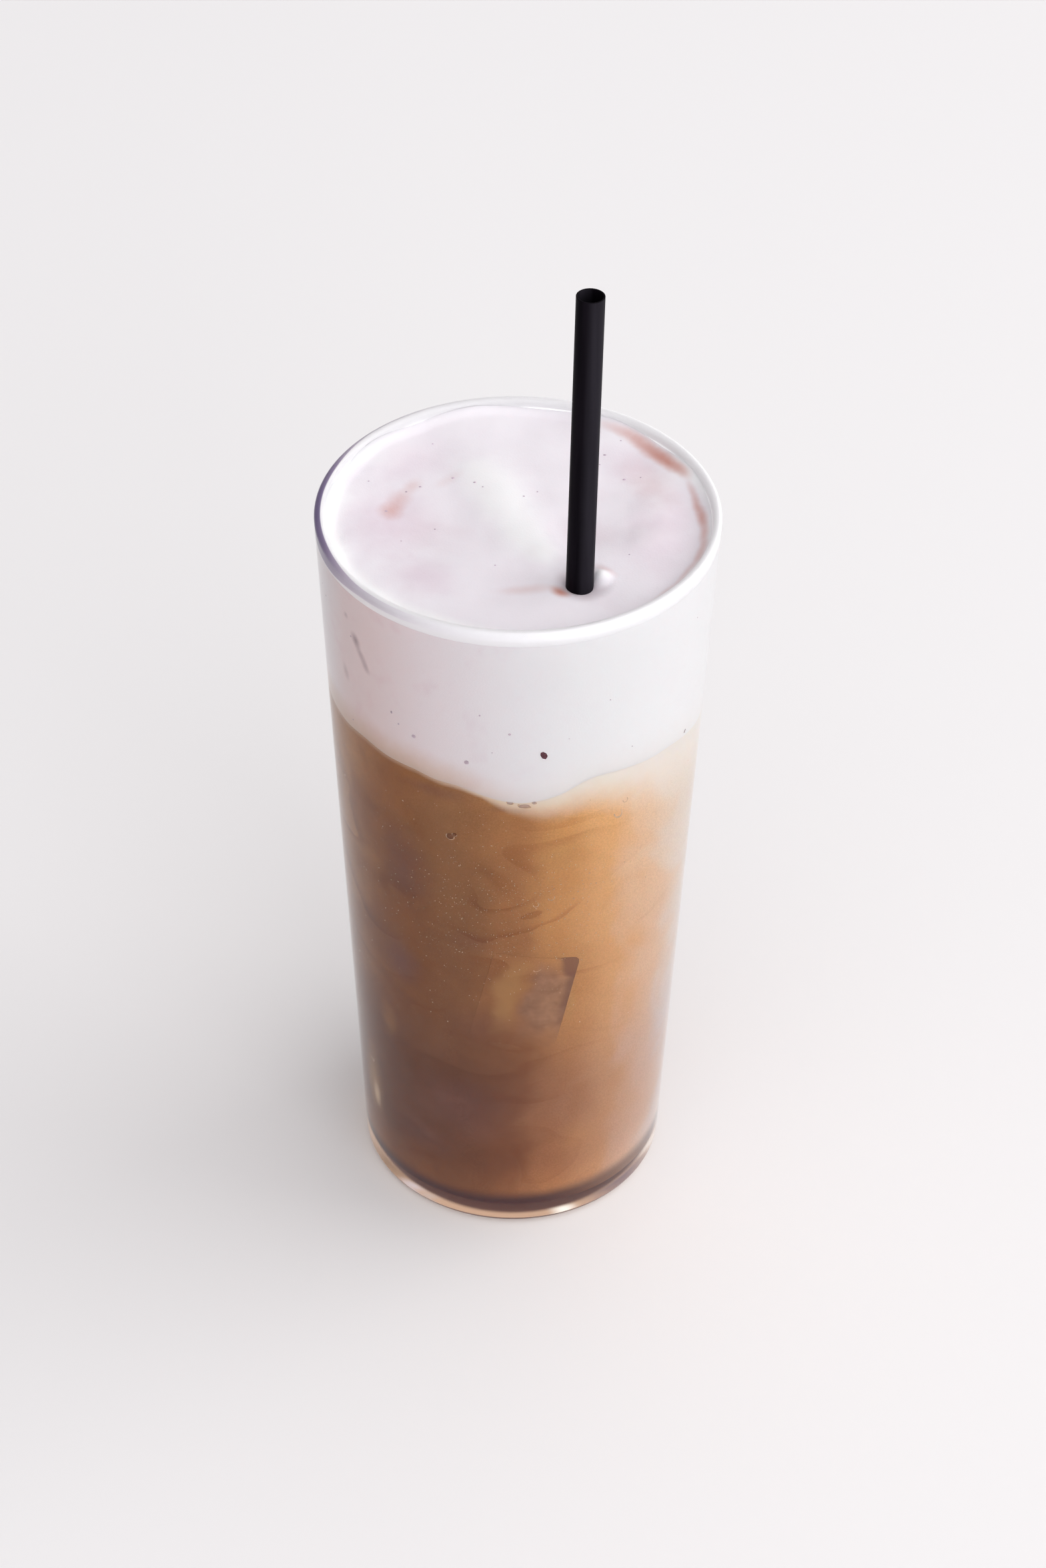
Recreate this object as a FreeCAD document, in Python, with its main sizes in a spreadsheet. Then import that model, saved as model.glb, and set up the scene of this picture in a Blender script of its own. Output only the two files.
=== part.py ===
import FreeCAD, Part
import math
import os
import Sketcher

# An iced coffee in a tall tapered glass: the glass, the milky coffee, the layer of foam on
# it and a straight drinking straw.
# Frame, in millimetres: origin at the centre of the glass's underside, +Z up, and the
# straw on the +X, -Y side.

NODES = ("glass", "coffee", "foam", "straw")

# Driving sizes: alias, value and what it is.
SIZES = (
    ("RimDiameter", 74.0, "outside of the glass at its rim"),
    ("BaseDiameter", 60.0, "outside of the glass at its foot"),
    ("GlassHeight", 155.0, "foot to rim"),
    ("WallThickness", 1.6, "glass wall, measured level"),
    ("FloorThickness", 4.0, "glass floor"),
    ("RimRounding", 0.7, "both edges of the melted rim"),
    ("FootRounding", 2.0, "outer edge of the foot"),
    ("CavityRounding", 3.0, "inner corner between floor and wall"),
    ("FitGap", 0.2, "between the drink and what it touches"),
    ("FoamDrop", 2.6, "rim down to the flat of the foam"),
    ("FoamDepth", 34.2, "flat of the foam down to the coffee"),
    ("FoamRelief", 0.9, "tallest hill of the foam"),
    ("FoamMeniscus", 1.3, "climb of the foam at the wall"),
    ("FoamMeniscusWidth", 2.2, "how far in from the wall the climb reaches"),
    ("DimpleDepth", 1.3, "hollow in the foam round the straw"),
    ("DimpleWidth", 4.6, "reach of that hollow from the straw's axis"),
    ("LayerSag", 5.0, "deepest sag of the foam into the coffee"),
    ("StrawDiameter", 5.0, "outside of the straw"),
    ("StrawWall", 0.3, "wall of the straw"),
    ("StrawLength", 207.0, "end to end"),
    ("StrawWallDistance", 11.6, "straw to glass wall where it leaves the foam"),
    ("StrawFootBearing", 23.8, "foot of the straw, degrees from -Y towards +X"),
    ("StrawFoamBearing", 31.5, "straw where it leaves the foam, the same way"),
)

# Hills of the foam: bearing in degrees from -Y towards +X, distance from the axis and
# reach as shares of the cavity's radius, and height as a share of FoamRelief.
FOAM_HILLS = (
    (-100.0, 0.55, 0.30, 0.70),
    (-150.0, 0.35, 0.22, 0.55),
    (10.0, 0.12, 0.26, 1.00),
    (86.0, 0.72, 0.17, 0.90),
    (48.0, 0.72, 0.15, 0.55),
    (-38.0, 0.62, 0.20, -0.60),
    (165.0, 0.60, 0.32, -0.45),
)

# Sags of the foam into the coffee: bearing, distance and reach as above, and depth as a
# share of LayerSag.
LAYER_SAGS = (
    (2.0, 1.00, 0.24, 0.70),
    (88.0, 1.05, 0.34, 1.00),
    (-170.0, 0.95, 0.45, 0.40),
)

# The wavy surfaces run through a square grid of points that reaches past the glass.
GRID_POINTS = 31
GRID_MARGIN = 6.0
# The hole for the straw runs this far past the drink's bottom.
HOLE_OVERRUN = 2.0
# An edge counts as found within this distance.
EDGE_TOLERANCE = 0.01


def make_sheet(doc):
    """The spreadsheet that holds every driving size under its alias."""
    sheet = doc.addObject("Spreadsheet::Sheet", "Sizes")
    for row, (alias, value, meaning) in enumerate(SIZES, start=1):
        sheet.set(f"A{row}", alias)
        sheet.set(f"B{row}", str(value))
        sheet.set(f"C{row}", meaning)
        sheet.setAlias(f"B{row}", alias)
    doc.recompute()
    return sheet


def origin_plane(body, role):
    """One of the body's own origin planes."""
    return next(item for item in body.Origin.OriginFeatures if item.Role == role)


def new_body(doc, label):
    body = doc.addObject("PartDesign::Body", label)
    body.Label = label
    return body


def wall_radius(height_text, inset_text="0"):
    """Expression for the outer wall's radius at a height, less an inset."""
    return (
        f"(Sizes.BaseDiameter + (Sizes.RimDiameter - Sizes.BaseDiameter)"
        f" * ({height_text}) / Sizes.GlassHeight) / 2 - ({inset_text})"
    )


def turned_profile(body, name, corners, start_points):
    """A closed sketch in the XZ plane whose first and last corners lie on the axis.

    corners holds a radius and a height expression for each corner, or None where the
    corner lies on the axis or on the ground line. start_points are rough first places.
    """
    sketch = body.newObject("Sketcher::SketchObject", name)
    sketch.AttachmentSupport = (origin_plane(body, "XZ_Plane"), [""])
    sketch.MapMode = "FlatFace"
    count = len(corners)
    for index in range(count):
        start = FreeCAD.Vector(*start_points[index], 0)
        end = FreeCAD.Vector(*start_points[(index + 1) % count], 0)
        sketch.addGeometry(Part.LineSegment(start, end), False)
    for index in range(count):
        sketch.addConstraint(Sketcher.Constraint("Coincident", index, 2, (index + 1) % count, 1))
    for index, (radius, height) in enumerate(corners):
        for kind, value, axis, label in (
            ("DistanceX", radius, -2, f"radius_{index}"),
            ("DistanceY", height, -1, f"height_{index}"),
        ):
            if value is None:
                sketch.addConstraint(Sketcher.Constraint("PointOnObject", index, 1, axis))
                continue
            place = start_points[index][0 if kind == "DistanceX" else 1]
            number = sketch.addConstraint(
                Sketcher.Constraint(kind, -1, 1, index, 1, place)
            )
            sketch.renameConstraint(number, label)
            sketch.setExpression(f"Constraints.{label}", value)
    return sketch


def revolve(body, name, sketch):
    feature = body.newObject("PartDesign::Revolution", name)
    feature.Profile = sketch
    feature.ReferenceAxis = (sketch, ["V_Axis"])
    feature.Angle = 360
    sketch.Visibility = False
    body.Document.recompute()
    return feature


def ring_edges(shape, radius, height):
    """Names of the level circles of that radius at that height."""
    names = []
    for number, edge in enumerate(shape.Edges, start=1):
        curve = edge.Curve
        if not isinstance(curve, Part.Circle):
            continue
        if abs(curve.Radius - radius) > EDGE_TOLERANCE:
            continue
        if abs(curve.Center.z - height) > EDGE_TOLERANCE:
            continue
        names.append(f"Edge{number}")
    return names


def fillet(body, name, base, rings, radius_text):
    """A fillet on the level circles given as (radius, height) pairs."""
    edges = [edge for ring in rings for edge in ring_edges(base.Shape, *ring)]
    if len(edges) != len(rings):
        raise RuntimeError(f"{name} found {len(edges)} of {len(rings)} edges")
    feature = body.newObject("PartDesign::Fillet", name)
    feature.Base = (base, edges)
    feature.setExpression("Radius", radius_text)
    body.Document.recompute()
    return feature


def outer_radius(sheet, height):
    """The outer wall's radius at a height, in millimetres."""
    spread = sheet.RimDiameter - sheet.BaseDiameter
    return (sheet.BaseDiameter + spread * height / sheet.GlassHeight) / 2


def cavity_radius(sheet, height):
    return outer_radius(sheet, height) - sheet.WallThickness


def make_glass(doc, sheet):
    """A tapered tumbler turned in one piece, with a melted rim and a rounded foot."""
    body = new_body(doc, "glass")
    corners = (
        (None, None),
        ("Sizes.BaseDiameter / 2", None),
        ("Sizes.RimDiameter / 2", "Sizes.GlassHeight"),
        ("Sizes.RimDiameter / 2 - Sizes.WallThickness", "Sizes.GlassHeight"),
        (wall_radius("Sizes.FloorThickness", "Sizes.WallThickness"), "Sizes.FloorThickness"),
        (None, "Sizes.FloorThickness"),
    )
    rim = sheet.RimDiameter / 2
    inner_rim = rim - sheet.WallThickness
    inner_floor = cavity_radius(sheet, sheet.FloorThickness)
    start_points = (
        (0, 0),
        (sheet.BaseDiameter / 2, 0),
        (rim, sheet.GlassHeight),
        (inner_rim, sheet.GlassHeight),
        (inner_floor, sheet.FloorThickness),
        (0, sheet.FloorThickness),
    )
    sketch = turned_profile(body, "glass_profile", corners, start_points)
    turned = revolve(body, "glass_turned", sketch)
    rim_rings = ((rim, sheet.GlassHeight), (inner_rim, sheet.GlassHeight))
    rim_radius = "min(Sizes.RimRounding; Sizes.WallThickness * 0.45)"
    rounded = fillet(body, "glass_rim", turned, rim_rings, rim_radius)
    foot_ring = ((sheet.BaseDiameter / 2, 0),)
    rounded = fillet(body, "glass_foot", rounded, foot_ring, "Sizes.FootRounding")
    cavity_ring = ((inner_floor, sheet.FloorThickness),)
    fillet(body, "glass_cavity", rounded, cavity_ring, "Sizes.CavityRounding")
    return body


def make_contents(doc, sheet):
    """All that the glass can hold, a fit gap clear of it: the blank for drink and foam."""
    body = new_body(doc, "contents")
    inset = "Sizes.WallThickness + Sizes.FitGap"
    bottom = "Sizes.FloorThickness + Sizes.FitGap"
    corners = (
        (None, bottom),
        (wall_radius(bottom, inset), bottom),
        (f"Sizes.RimDiameter / 2 - ({inset})", "Sizes.GlassHeight"),
        (None, "Sizes.GlassHeight"),
    )
    bottom_height = sheet.FloorThickness + sheet.FitGap
    bottom_radius = cavity_radius(sheet, bottom_height) - sheet.FitGap
    top_radius = cavity_radius(sheet, sheet.GlassHeight) - sheet.FitGap
    start_points = (
        (0, bottom_height),
        (bottom_radius, bottom_height),
        (top_radius, sheet.GlassHeight),
        (0, sheet.GlassHeight),
    )
    sketch = turned_profile(body, "contents_profile", corners, start_points)
    turned = revolve(body, "contents_turned", sketch)
    ring = ((bottom_radius, bottom_height),)
    fillet(body, "contents_corner", turned, ring, "Sizes.CavityRounding - Sizes.FitGap")
    return body


def polar(bearing, distance):
    """A place on the level plane from a bearing off -Y towards +X and a distance."""
    angle = math.radians(bearing)
    return distance * math.sin(angle), -distance * math.cos(angle)


def bump(x, y, centre, reach):
    """A smooth round hill of height 1."""
    distance = math.hypot(x - centre[0], y - centre[1])
    return math.exp(-((distance / reach) ** 2))


def relief(sheet, hills, x, y):
    """Sum of the listed hills at a place, each given as shares of the cavity's radius."""
    radius = cavity_radius(sheet, sheet.GlassHeight)
    return sum(
        share * bump(x, y, polar(bearing, distance * radius), reach * radius)
        for bearing, distance, reach, share in hills
    )


def straw_ends(sheet):
    """Where the straw's axis meets the glass floor, and where it leaves the foam."""
    half = sheet.StrawDiameter / 2
    floor_height = sheet.FloorThickness + sheet.FitGap
    flat_floor = cavity_radius(sheet, sheet.FloorThickness) - sheet.CavityRounding
    foot = polar(sheet.StrawFootBearing, flat_floor - half - sheet.FitGap)
    foam_height = sheet.GlassHeight - sheet.FoamDrop
    inner = cavity_radius(sheet, foam_height)
    leave = polar(sheet.StrawFoamBearing, inner - sheet.StrawWallDistance - half)
    return FreeCAD.Vector(*foot, floor_height), FreeCAD.Vector(*leave, foam_height)


def crown_height(sheet, x, y):
    """Top of the foam: low hills, a climb at the wall and a hollow round the straw."""
    flat = sheet.GlassHeight - sheet.FoamDrop
    edge = cavity_radius(sheet, flat)
    inward = max(edge - math.hypot(x, y), 0.0) / sheet.FoamMeniscusWidth
    climb = sheet.FoamMeniscus * math.exp(-inward)
    leave = straw_ends(sheet)[1]
    hollow = sheet.DimpleDepth * bump(x, y, (leave.x, leave.y), sheet.DimpleWidth)
    return flat + sheet.FoamRelief * relief(sheet, FOAM_HILLS, x, y) + climb - hollow


def line_height(sheet, x, y):
    """Line between foam and coffee, which sags where the foam is heavy."""
    level = sheet.GlassHeight - sheet.FoamDrop - sheet.FoamDepth
    return level - sheet.LayerSag * relief(sheet, LAYER_SAGS, x, y)


def wavy_block(doc, sheet, name, height_at, lift, thickness):
    """A block past the glass on all sides, with one wavy face and thickness below it.

    A negative thickness lies above the wavy face.
    """
    reach = sheet.RimDiameter / 2 + GRID_MARGIN
    step = 2 * reach / (GRID_POINTS - 1)
    places = [-reach + step * index for index in range(GRID_POINTS)]
    rows = [
        [FreeCAD.Vector(x, y, height_at(sheet, x, y) + lift) for y in places]
        for x in places
    ]
    surface = Part.BSplineSurface()
    surface.interpolate(rows)
    block = doc.addObject("Part::Feature", name)
    block.Shape = surface.toShape().extrude(FreeCAD.Vector(0, 0, -thickness))
    return block


def common(doc, name, base, tool):
    feature = doc.addObject("Part::Common", name)
    feature.Base = base
    feature.Tool = tool
    return feature


def cut(doc, name, base, tool):
    feature = doc.addObject("Part::Cut", name)
    feature.Base = base
    feature.Tool = tool
    return feature


def straw_placement(sheet):
    """The straw stands on the floor and leans to where it leaves the foam."""
    foot, leave = straw_ends(sheet)
    direction = (leave - foot).normalize()
    lean = math.acos(direction.z)
    lift = sheet.StrawDiameter / 2 * math.sin(lean)
    turn = FreeCAD.Rotation(FreeCAD.Vector(0, 0, 1), direction)
    return FreeCAD.Placement(foot + FreeCAD.Vector(0, 0, lift), turn)


def make_straw(doc, sheet):
    """A straight thin-walled tube."""
    body = new_body(doc, "straw")
    sketch = body.newObject("Sketcher::SketchObject", "straw_section")
    sketch.AttachmentSupport = (origin_plane(body, "XY_Plane"), [""])
    sketch.MapMode = "FlatFace"
    outer = sheet.StrawDiameter / 2
    rings = (
        ("outer_radius", outer, "Sizes.StrawDiameter / 2"),
        ("bore_radius", outer - sheet.StrawWall, "Sizes.StrawDiameter / 2 - Sizes.StrawWall"),
    )
    centre = FreeCAD.Vector(0, 0, 0)
    up = FreeCAD.Vector(0, 0, 1)
    for index, (label, radius, expression) in enumerate(rings):
        sketch.addGeometry(Part.Circle(centre, up, radius), False)
        sketch.addConstraint(Sketcher.Constraint("Coincident", index, 3, -1, 1))
        number = sketch.addConstraint(Sketcher.Constraint("Radius", index, radius))
        sketch.renameConstraint(number, label)
        sketch.setExpression(f"Constraints.{label}", expression)
    pad = body.newObject("PartDesign::Pad", "straw_tube")
    pad.Profile = sketch
    pad.setExpression("Length", "Sizes.StrawLength")
    sketch.Visibility = False
    body.Placement = straw_placement(sheet)
    return body


def make_straw_hole(doc, sheet):
    """The room that the straw takes up in the drink, with a fit gap all round."""
    hole = doc.addObject("Part::Cylinder", "straw_hole")
    hole.setExpression("Radius", "Sizes.StrawDiameter / 2 + Sizes.FitGap")
    hole.setExpression("Height", f"Sizes.StrawLength + {HOLE_OVERRUN}")
    place = straw_placement(sheet)
    down = place.Rotation.multVec(FreeCAD.Vector(0, 0, -HOLE_OVERRUN))
    hole.Placement = FreeCAD.Placement(place.Base + down, place.Rotation)
    return hole


def make_coffee(doc, sheet, contents, hole):
    """The coffee, up to the line under the foam."""
    below = wavy_block(doc, sheet, "coffee_block", line_height, 0.0, sheet.GlassHeight)
    filled = common(doc, "coffee_filled", contents, below)
    coffee = cut(doc, "coffee", filled, hole)
    coffee.Label = "coffee"
    return coffee


def make_foam(doc, sheet, contents, hole):
    """The foam, from just above the coffee to its uneven crown."""
    above = wavy_block(
        doc, sheet, "foam_block", line_height, sheet.FitGap, -sheet.GlassHeight
    )
    under = wavy_block(doc, sheet, "crown_block", crown_height, 0.0, sheet.GlassHeight)
    filled = common(doc, "foam_filled", contents, above)
    crowned = common(doc, "foam_crowned", filled, under)
    foam = cut(doc, "foam", crowned, hole)
    foam.Label = "foam"
    return foam


def check_document(doc):
    """Stop if any object failed, or a sub-part has no sound single solid."""
    for item in doc.Objects:
        if "Invalid" in item.State or "Error" in item.State:
            raise RuntimeError(f"{item.Label} is in state {item.State}")
    for name in NODES:
        shape = doc.getObjectsByLabel(name)[0].Shape
        if shape.isNull() or not shape.isValid() or len(shape.Solids) != 1:
            raise RuntimeError(f"{name} has no sound single solid")


def export(doc):
    os.makedirs("parts", exist_ok=True)
    for name in NODES:
        shape = doc.getObjectsByLabel(name)[0].Shape
        shape.exportStep(f"parts/{name}.step")
        box = shape.BoundBox
        print(
            f"{name}: {shape.Volume / 1000:.2f} ml, "
            f"z {box.ZMin:.2f} to {box.ZMax:.2f}, faces {len(shape.Faces)}"
        )


def main():
    doc = FreeCAD.newDocument("iced_coffee")
    sheet = make_sheet(doc)
    make_glass(doc, sheet)
    contents = make_contents(doc, sheet)
    make_straw(doc, sheet)
    hole = make_straw_hole(doc, sheet)
    make_coffee(doc, sheet, contents, hole)
    make_foam(doc, sheet, contents, hole)
    doc.recompute()
    check_document(doc)
    export(doc)


main()
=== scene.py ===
import math
import random

import bpy
from mathutils import Matrix, Vector


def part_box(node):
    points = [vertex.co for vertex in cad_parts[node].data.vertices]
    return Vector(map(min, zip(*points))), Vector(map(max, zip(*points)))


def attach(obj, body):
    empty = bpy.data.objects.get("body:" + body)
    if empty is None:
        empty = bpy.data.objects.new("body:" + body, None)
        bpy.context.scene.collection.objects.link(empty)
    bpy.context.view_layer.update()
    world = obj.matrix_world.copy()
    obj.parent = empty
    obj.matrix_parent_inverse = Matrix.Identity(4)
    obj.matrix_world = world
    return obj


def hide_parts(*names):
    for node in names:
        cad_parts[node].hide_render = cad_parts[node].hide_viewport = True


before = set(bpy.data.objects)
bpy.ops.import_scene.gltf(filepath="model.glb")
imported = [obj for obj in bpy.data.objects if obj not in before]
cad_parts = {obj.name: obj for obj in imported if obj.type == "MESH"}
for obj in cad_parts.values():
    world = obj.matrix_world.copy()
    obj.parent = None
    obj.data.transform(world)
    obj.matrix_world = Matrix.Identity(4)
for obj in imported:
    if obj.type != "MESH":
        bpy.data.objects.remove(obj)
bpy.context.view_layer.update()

# An iced coffee in a tall tapered glass, in metres. The glass stands on its axis, +Z up,
# and bearings are turned about that axis from the front, -Y, towards the right, +X.
# The lists of places and sizes are in millimetres and degrees.

MM = 0.001

GLASS_LOW, GLASS_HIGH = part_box("glass")
RIM_RADIUS = min(GLASS_HIGH.x, -GLASS_LOW.x, GLASS_HIGH.y, -GLASS_LOW.y)
RIM_HEIGHT = GLASS_HIGH.z
BASE_RADIUS = 30.0 * MM
WALL = 1.6 * MM
FLOOR = 4.0 * MM
RIM_ROUNDING = 0.76 * MM
FOOT_ROUNDING = 2.0 * MM
CAVITY_ROUNDING = 3.0 * MM
FLAT_RIM = 0.4 * MM

# How far the drink and the ice reach into the wall.
COFFEE_BITE = 0.15 * MM
ICE_BITE = 0.20 * MM
FOAM_BITE = 0.25 * MM

FOAM_LEVEL = RIM_HEIGHT - 2.6 * MM
LINE_LEVEL = FOAM_LEVEL - 34.2 * MM
COFFEE_TOP = LINE_LEVEL + 3.0 * MM
FLAT_BORDER = 2.0 * MM

STRAW_RADIUS = 2.5 * MM
STRAW_WALL = 0.3 * MM
STRAW_ROUNDING = 0.09 * MM
STRAW_STEPS = 72

ROUND_STEPS = 192
ROUNDING_STEPS = 8
SMALL_ROUNDING_STEPS = 3
CRISP_ANGLE = 30.0
EDGE_ANGLE = 40.0
SOFT_ANGLE = 60.0


def outer_radius(height):
    """Outside of the glass wall at a height."""
    return BASE_RADIUS + (RIM_RADIUS - BASE_RADIUS) * height / RIM_HEIGHT


def inner_radius(height):
    return outer_radius(height) - WALL


def polar(bearing, distance, height=0.0):
    """A place from a bearing in degrees, a distance from the axis and a height."""
    angle = math.radians(bearing)
    return Vector((distance * math.sin(angle), -distance * math.cos(angle), height))


def on_wall(bearing, height):
    """A place on the inside of the wall, from a bearing and a height in millimetres."""
    return polar(bearing, inner_radius(height * MM), height * MM)


# Modelling helpers


def deselect():
    bpy.ops.object.select_all(action="DESELECT")


def add_object(name, data):
    """Adds an object that holds the given mesh, camera or light."""
    added = bpy.data.objects.new(name, data)
    bpy.context.scene.collection.objects.link(added)
    return added


def select_only(piece):
    deselect()
    piece.select_set(True)
    bpy.context.view_layer.objects.active = piece


def settle(piece):
    """Puts a piece's place, turn and size into its mesh."""
    select_only(piece)
    bpy.ops.object.transform_apply(location=True, rotation=True, scale=True)


def fresh(name):
    """Names the piece just added and puts its place into its mesh."""
    piece = bpy.context.object
    piece.name = name
    piece.data.name = name
    settle(piece)
    return piece


def edit(piece):
    select_only(piece)
    bpy.ops.object.mode_set(mode="EDIT")


def done():
    bpy.ops.object.mode_set(mode="OBJECT")
    deselect()


def middle(mesh, item):
    """The middle of a vertex, an edge or a face."""
    if hasattr(item, "co"):
        return item.co.copy()
    if hasattr(item, "center"):
        return item.center.copy()
    first, second = (mesh.vertices[index].co for index in item.vertices)
    return (first + second) / 2


def pick(kind, test):
    """Selects, in edit mode, the vertices, edges or faces whose middle passes the test."""
    piece = bpy.context.object
    bpy.ops.mesh.select_mode(type=kind)
    bpy.ops.mesh.select_all(action="DESELECT")
    bpy.ops.object.mode_set(mode="OBJECT")
    mesh = piece.data
    items = {"VERT": mesh.vertices, "EDGE": mesh.edges, "FACE": mesh.polygons}[kind]
    for item in items:
        item.select = bool(test(middle(mesh, item)))
    bpy.ops.object.mode_set(mode="EDIT")


def pick_ring(height, radius, slack=0.05 * MM):
    """Selects the level ring of edges at a height and near a radius."""
    edge_dip = radius * (1 - math.cos(math.pi / ROUND_STEPS))

    def on_ring(place):
        near = abs(math.hypot(place.x, place.y) + edge_dip - radius) < slack
        return near and abs(place.z - height) < slack

    pick("EDGE", on_ring)


def pick_nearest(place):
    """Selects the one vertex nearest to a place."""
    piece = bpy.context.object
    bpy.ops.mesh.select_mode(type="VERT")
    bpy.ops.mesh.select_all(action="DESELECT")
    bpy.ops.object.mode_set(mode="OBJECT")
    nearest = min(piece.data.vertices, key=lambda vertex: (vertex.co - place).length_squared)
    nearest.select = True
    bpy.ops.object.mode_set(mode="EDIT")


def push(vector, reach):
    """Moves what is selected, and what lies within reach of it by less and less."""
    bpy.ops.transform.translate(
        value=vector,
        use_proportional_edit=True,
        proportional_edit_falloff="SMOOTH",
        proportional_size=reach,
    )


def raise_at(place, height, reach):
    """Lifts the mesh softly round a place, or sinks it. Height and reach are in millimetres."""
    pick_nearest(place)
    push((0, 0, height * MM), reach * MM)


def resize_level(share, height):
    """Resizes what is selected about the axis, in the level plane only."""
    bpy.ops.transform.resize(value=(share, share, 1), center_override=(0, 0, height))


def pick_end(height):
    """Selects the level faces at a height."""
    pick("FACE", lambda place: abs(place.z - height) < MM)


def add_cylinder(name, radius, bottom, top, steps=ROUND_STEPS):
    """An upright cylinder about the axis, left in edit mode."""
    deselect()
    bpy.ops.mesh.primitive_cylinder_add(
        vertices=steps, radius=radius, depth=top - bottom, location=(0, 0, (top + bottom) / 2)
    )
    piece = fresh(name)
    edit(piece)
    return piece


def add_filling(name, bottom, top, bite):
    """Fills the glass between two heights and reaches a bite into its wall."""
    radius = inner_radius(bottom) + bite
    piece = add_cylinder(name, radius, bottom, top)
    pick_end(top)
    resize_level((inner_radius(top) + bite) / radius, top)
    return piece


def close_flat(border):
    """Gives the level face that is selected a flat border and a fan of faces within."""
    bpy.ops.mesh.inset(thickness=border)
    bpy.ops.mesh.poke()


def add_flat_rims(*heights):
    """Gives the large level faces at the given heights a flat border."""
    for height in heights:
        pick("FACE", lambda place: abs(place.z - height) < 0.01 * MM and place.xy.length < MM)
        close_flat(FLAT_RIM)


def round_off(offset, segments):
    bpy.ops.mesh.bevel(offset=offset, segments=segments, affect="EDGES")


def apply_modifier(piece, kind, **settings):
    modifier = piece.modifiers.new(kind.lower(), kind)
    for key, value in settings.items():
        setattr(modifier, key, value)
    bpy.context.view_layer.objects.active = piece
    bpy.ops.object.modifier_apply(modifier=modifier.name)


def finish_piece(piece, angle, material, slot, *nodes):
    """Smooths a piece, gives it its material and its body, and hides the CAD nodes it stands for.
    """
    select_only(piece)
    bpy.ops.object.shade_smooth_by_angle(angle=math.radians(angle))
    deselect()
    piece.data.materials.clear()
    piece.data.materials.append(material)
    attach(piece, "root")
    if nodes:
        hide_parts(*nodes)


# Glass


def make_glass():
    """A tapered tumbler, hollowed from the top and rounded at its edges."""
    glass = add_cylinder("tumbler", BASE_RADIUS, 0.0, RIM_HEIGHT)
    pick_end(RIM_HEIGHT)
    resize_level(RIM_RADIUS / BASE_RADIUS, RIM_HEIGHT)
    bpy.ops.mesh.inset(thickness=WALL)
    bpy.ops.mesh.extrude_region_move(
        TRANSFORM_OT_translate={"value": (0, 0, FLOOR - RIM_HEIGHT)}
    )
    resize_level(inner_radius(FLOOR) / inner_radius(RIM_HEIGHT), FLOOR)
    for height, radius, rounding in (
        (RIM_HEIGHT, RIM_RADIUS, RIM_ROUNDING),
        (RIM_HEIGHT, inner_radius(RIM_HEIGHT), RIM_ROUNDING),
        (0.0, BASE_RADIUS, FOOT_ROUNDING),
        (FLOOR, inner_radius(FLOOR), CAVITY_ROUNDING),
    ):
        pick_ring(height, radius)
        round_off(rounding, ROUNDING_STEPS)
    add_flat_rims(0.0, FLOOR)
    done()
    finish_piece(glass, EDGE_ANGLE, glass_material(), "glass", "glass")


# The line between foam and coffee

# Sags of the foam into the coffee: bearing, reach and depth. They are centred on the
# inside of the wall, at the line's level.
LINE_SAGS = (
    (2.0, 17.0, 3.6),
    (88.0, 30.0, 5.0),
    (-170.0, 30.0, 2.5),
    (-24.0, 5.0, 0.7),
    (22.0, 6.0, -0.8),
    (-52.0, 7.0, -0.6),
    (44.0, 8.0, 0.6),
)


def line_place(bearing):
    return polar(bearing, inner_radius(LINE_LEVEL) + FOAM_BITE, LINE_LEVEL)


# Coffee


def make_coffee():
    """The coffee fills the glass from the floor to just above the foam's lower edge."""
    bottom = FLOOR - COFFEE_BITE
    coffee = add_filling("coffee_fill", bottom, COFFEE_TOP, COFFEE_BITE)
    close_flat(FLAT_BORDER)
    pick_ring(bottom, inner_radius(bottom) + COFFEE_BITE)
    round_off(CAVITY_ROUNDING + COFFEE_BITE, ROUNDING_STEPS)
    add_flat_rims(bottom)
    done()
    finish_piece(coffee, EDGE_ANGLE, coffee_material(), "coffee", "coffee")


# Foam

# Relief of the crown: place, reach and height. A ridge winds from the back to the straw
# between two hollows, and a short one stands on the right.
CROWN_RELIEF = (
    (-17.0, -4.0, 15.0, -0.6),
    (-22.0, 8.0, 9.0, -0.3),
    (-8.0, 19.0, 9.0, 0.45),
    (-5.0, 11.0, 10.0, 0.85),
    (-2.0, 2.0, 10.0, 0.9),
    (2.0, -7.0, 9.0, 0.8),
    (4.5, -12.0, 5.0, 0.5),
    (13.0, -3.0, 10.0, -0.9),
    (15.0, 9.0, 9.0, -0.5),
    (25.5, 3.0, 7.0, 0.55),
    (24.5, -5.0, 6.5, 0.55),
    (-3.0, -22.0, 10.0, -0.3),
    (16.0, -24.0, 9.0, -0.4),
    (3.0, 26.0, 12.0, 0.3),
)
MENISCUS_RISE = 0.7 * MM
MENISCUS_REACH = 3.0 * MM
# Where the foam has slid up the wall, the meniscus stands higher: bearing, reach, height.
MENISCUS_SWELLS = (
    (-100.0, 8.0, 0.6),
    (-72.0, 7.0, 0.5),
    (-48.0, 6.5, 0.4),
    (-25.0, 6.0, 0.3),
    (150.0, 12.0, 0.9),
    (-165.0, 14.0, 1.0),
    (-130.0, 12.0, 0.9),
    (115.0, 10.0, 0.6),
)
# Uneven layers over the crown: name, size of the lumps and their height.
CROWN_LAYERS = (
    ("swells", 10.0, 0.3),
    ("ripples", 2.8, 0.07),
)
CROWN_RINGS = 10
RING_WIDTH = 0.9 * MM
RING_SLACK = 0.3 * MM
CROWN_DEPTH = 6.0 * MM
CROWN_MARGIN = 0.6 * MM


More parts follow.
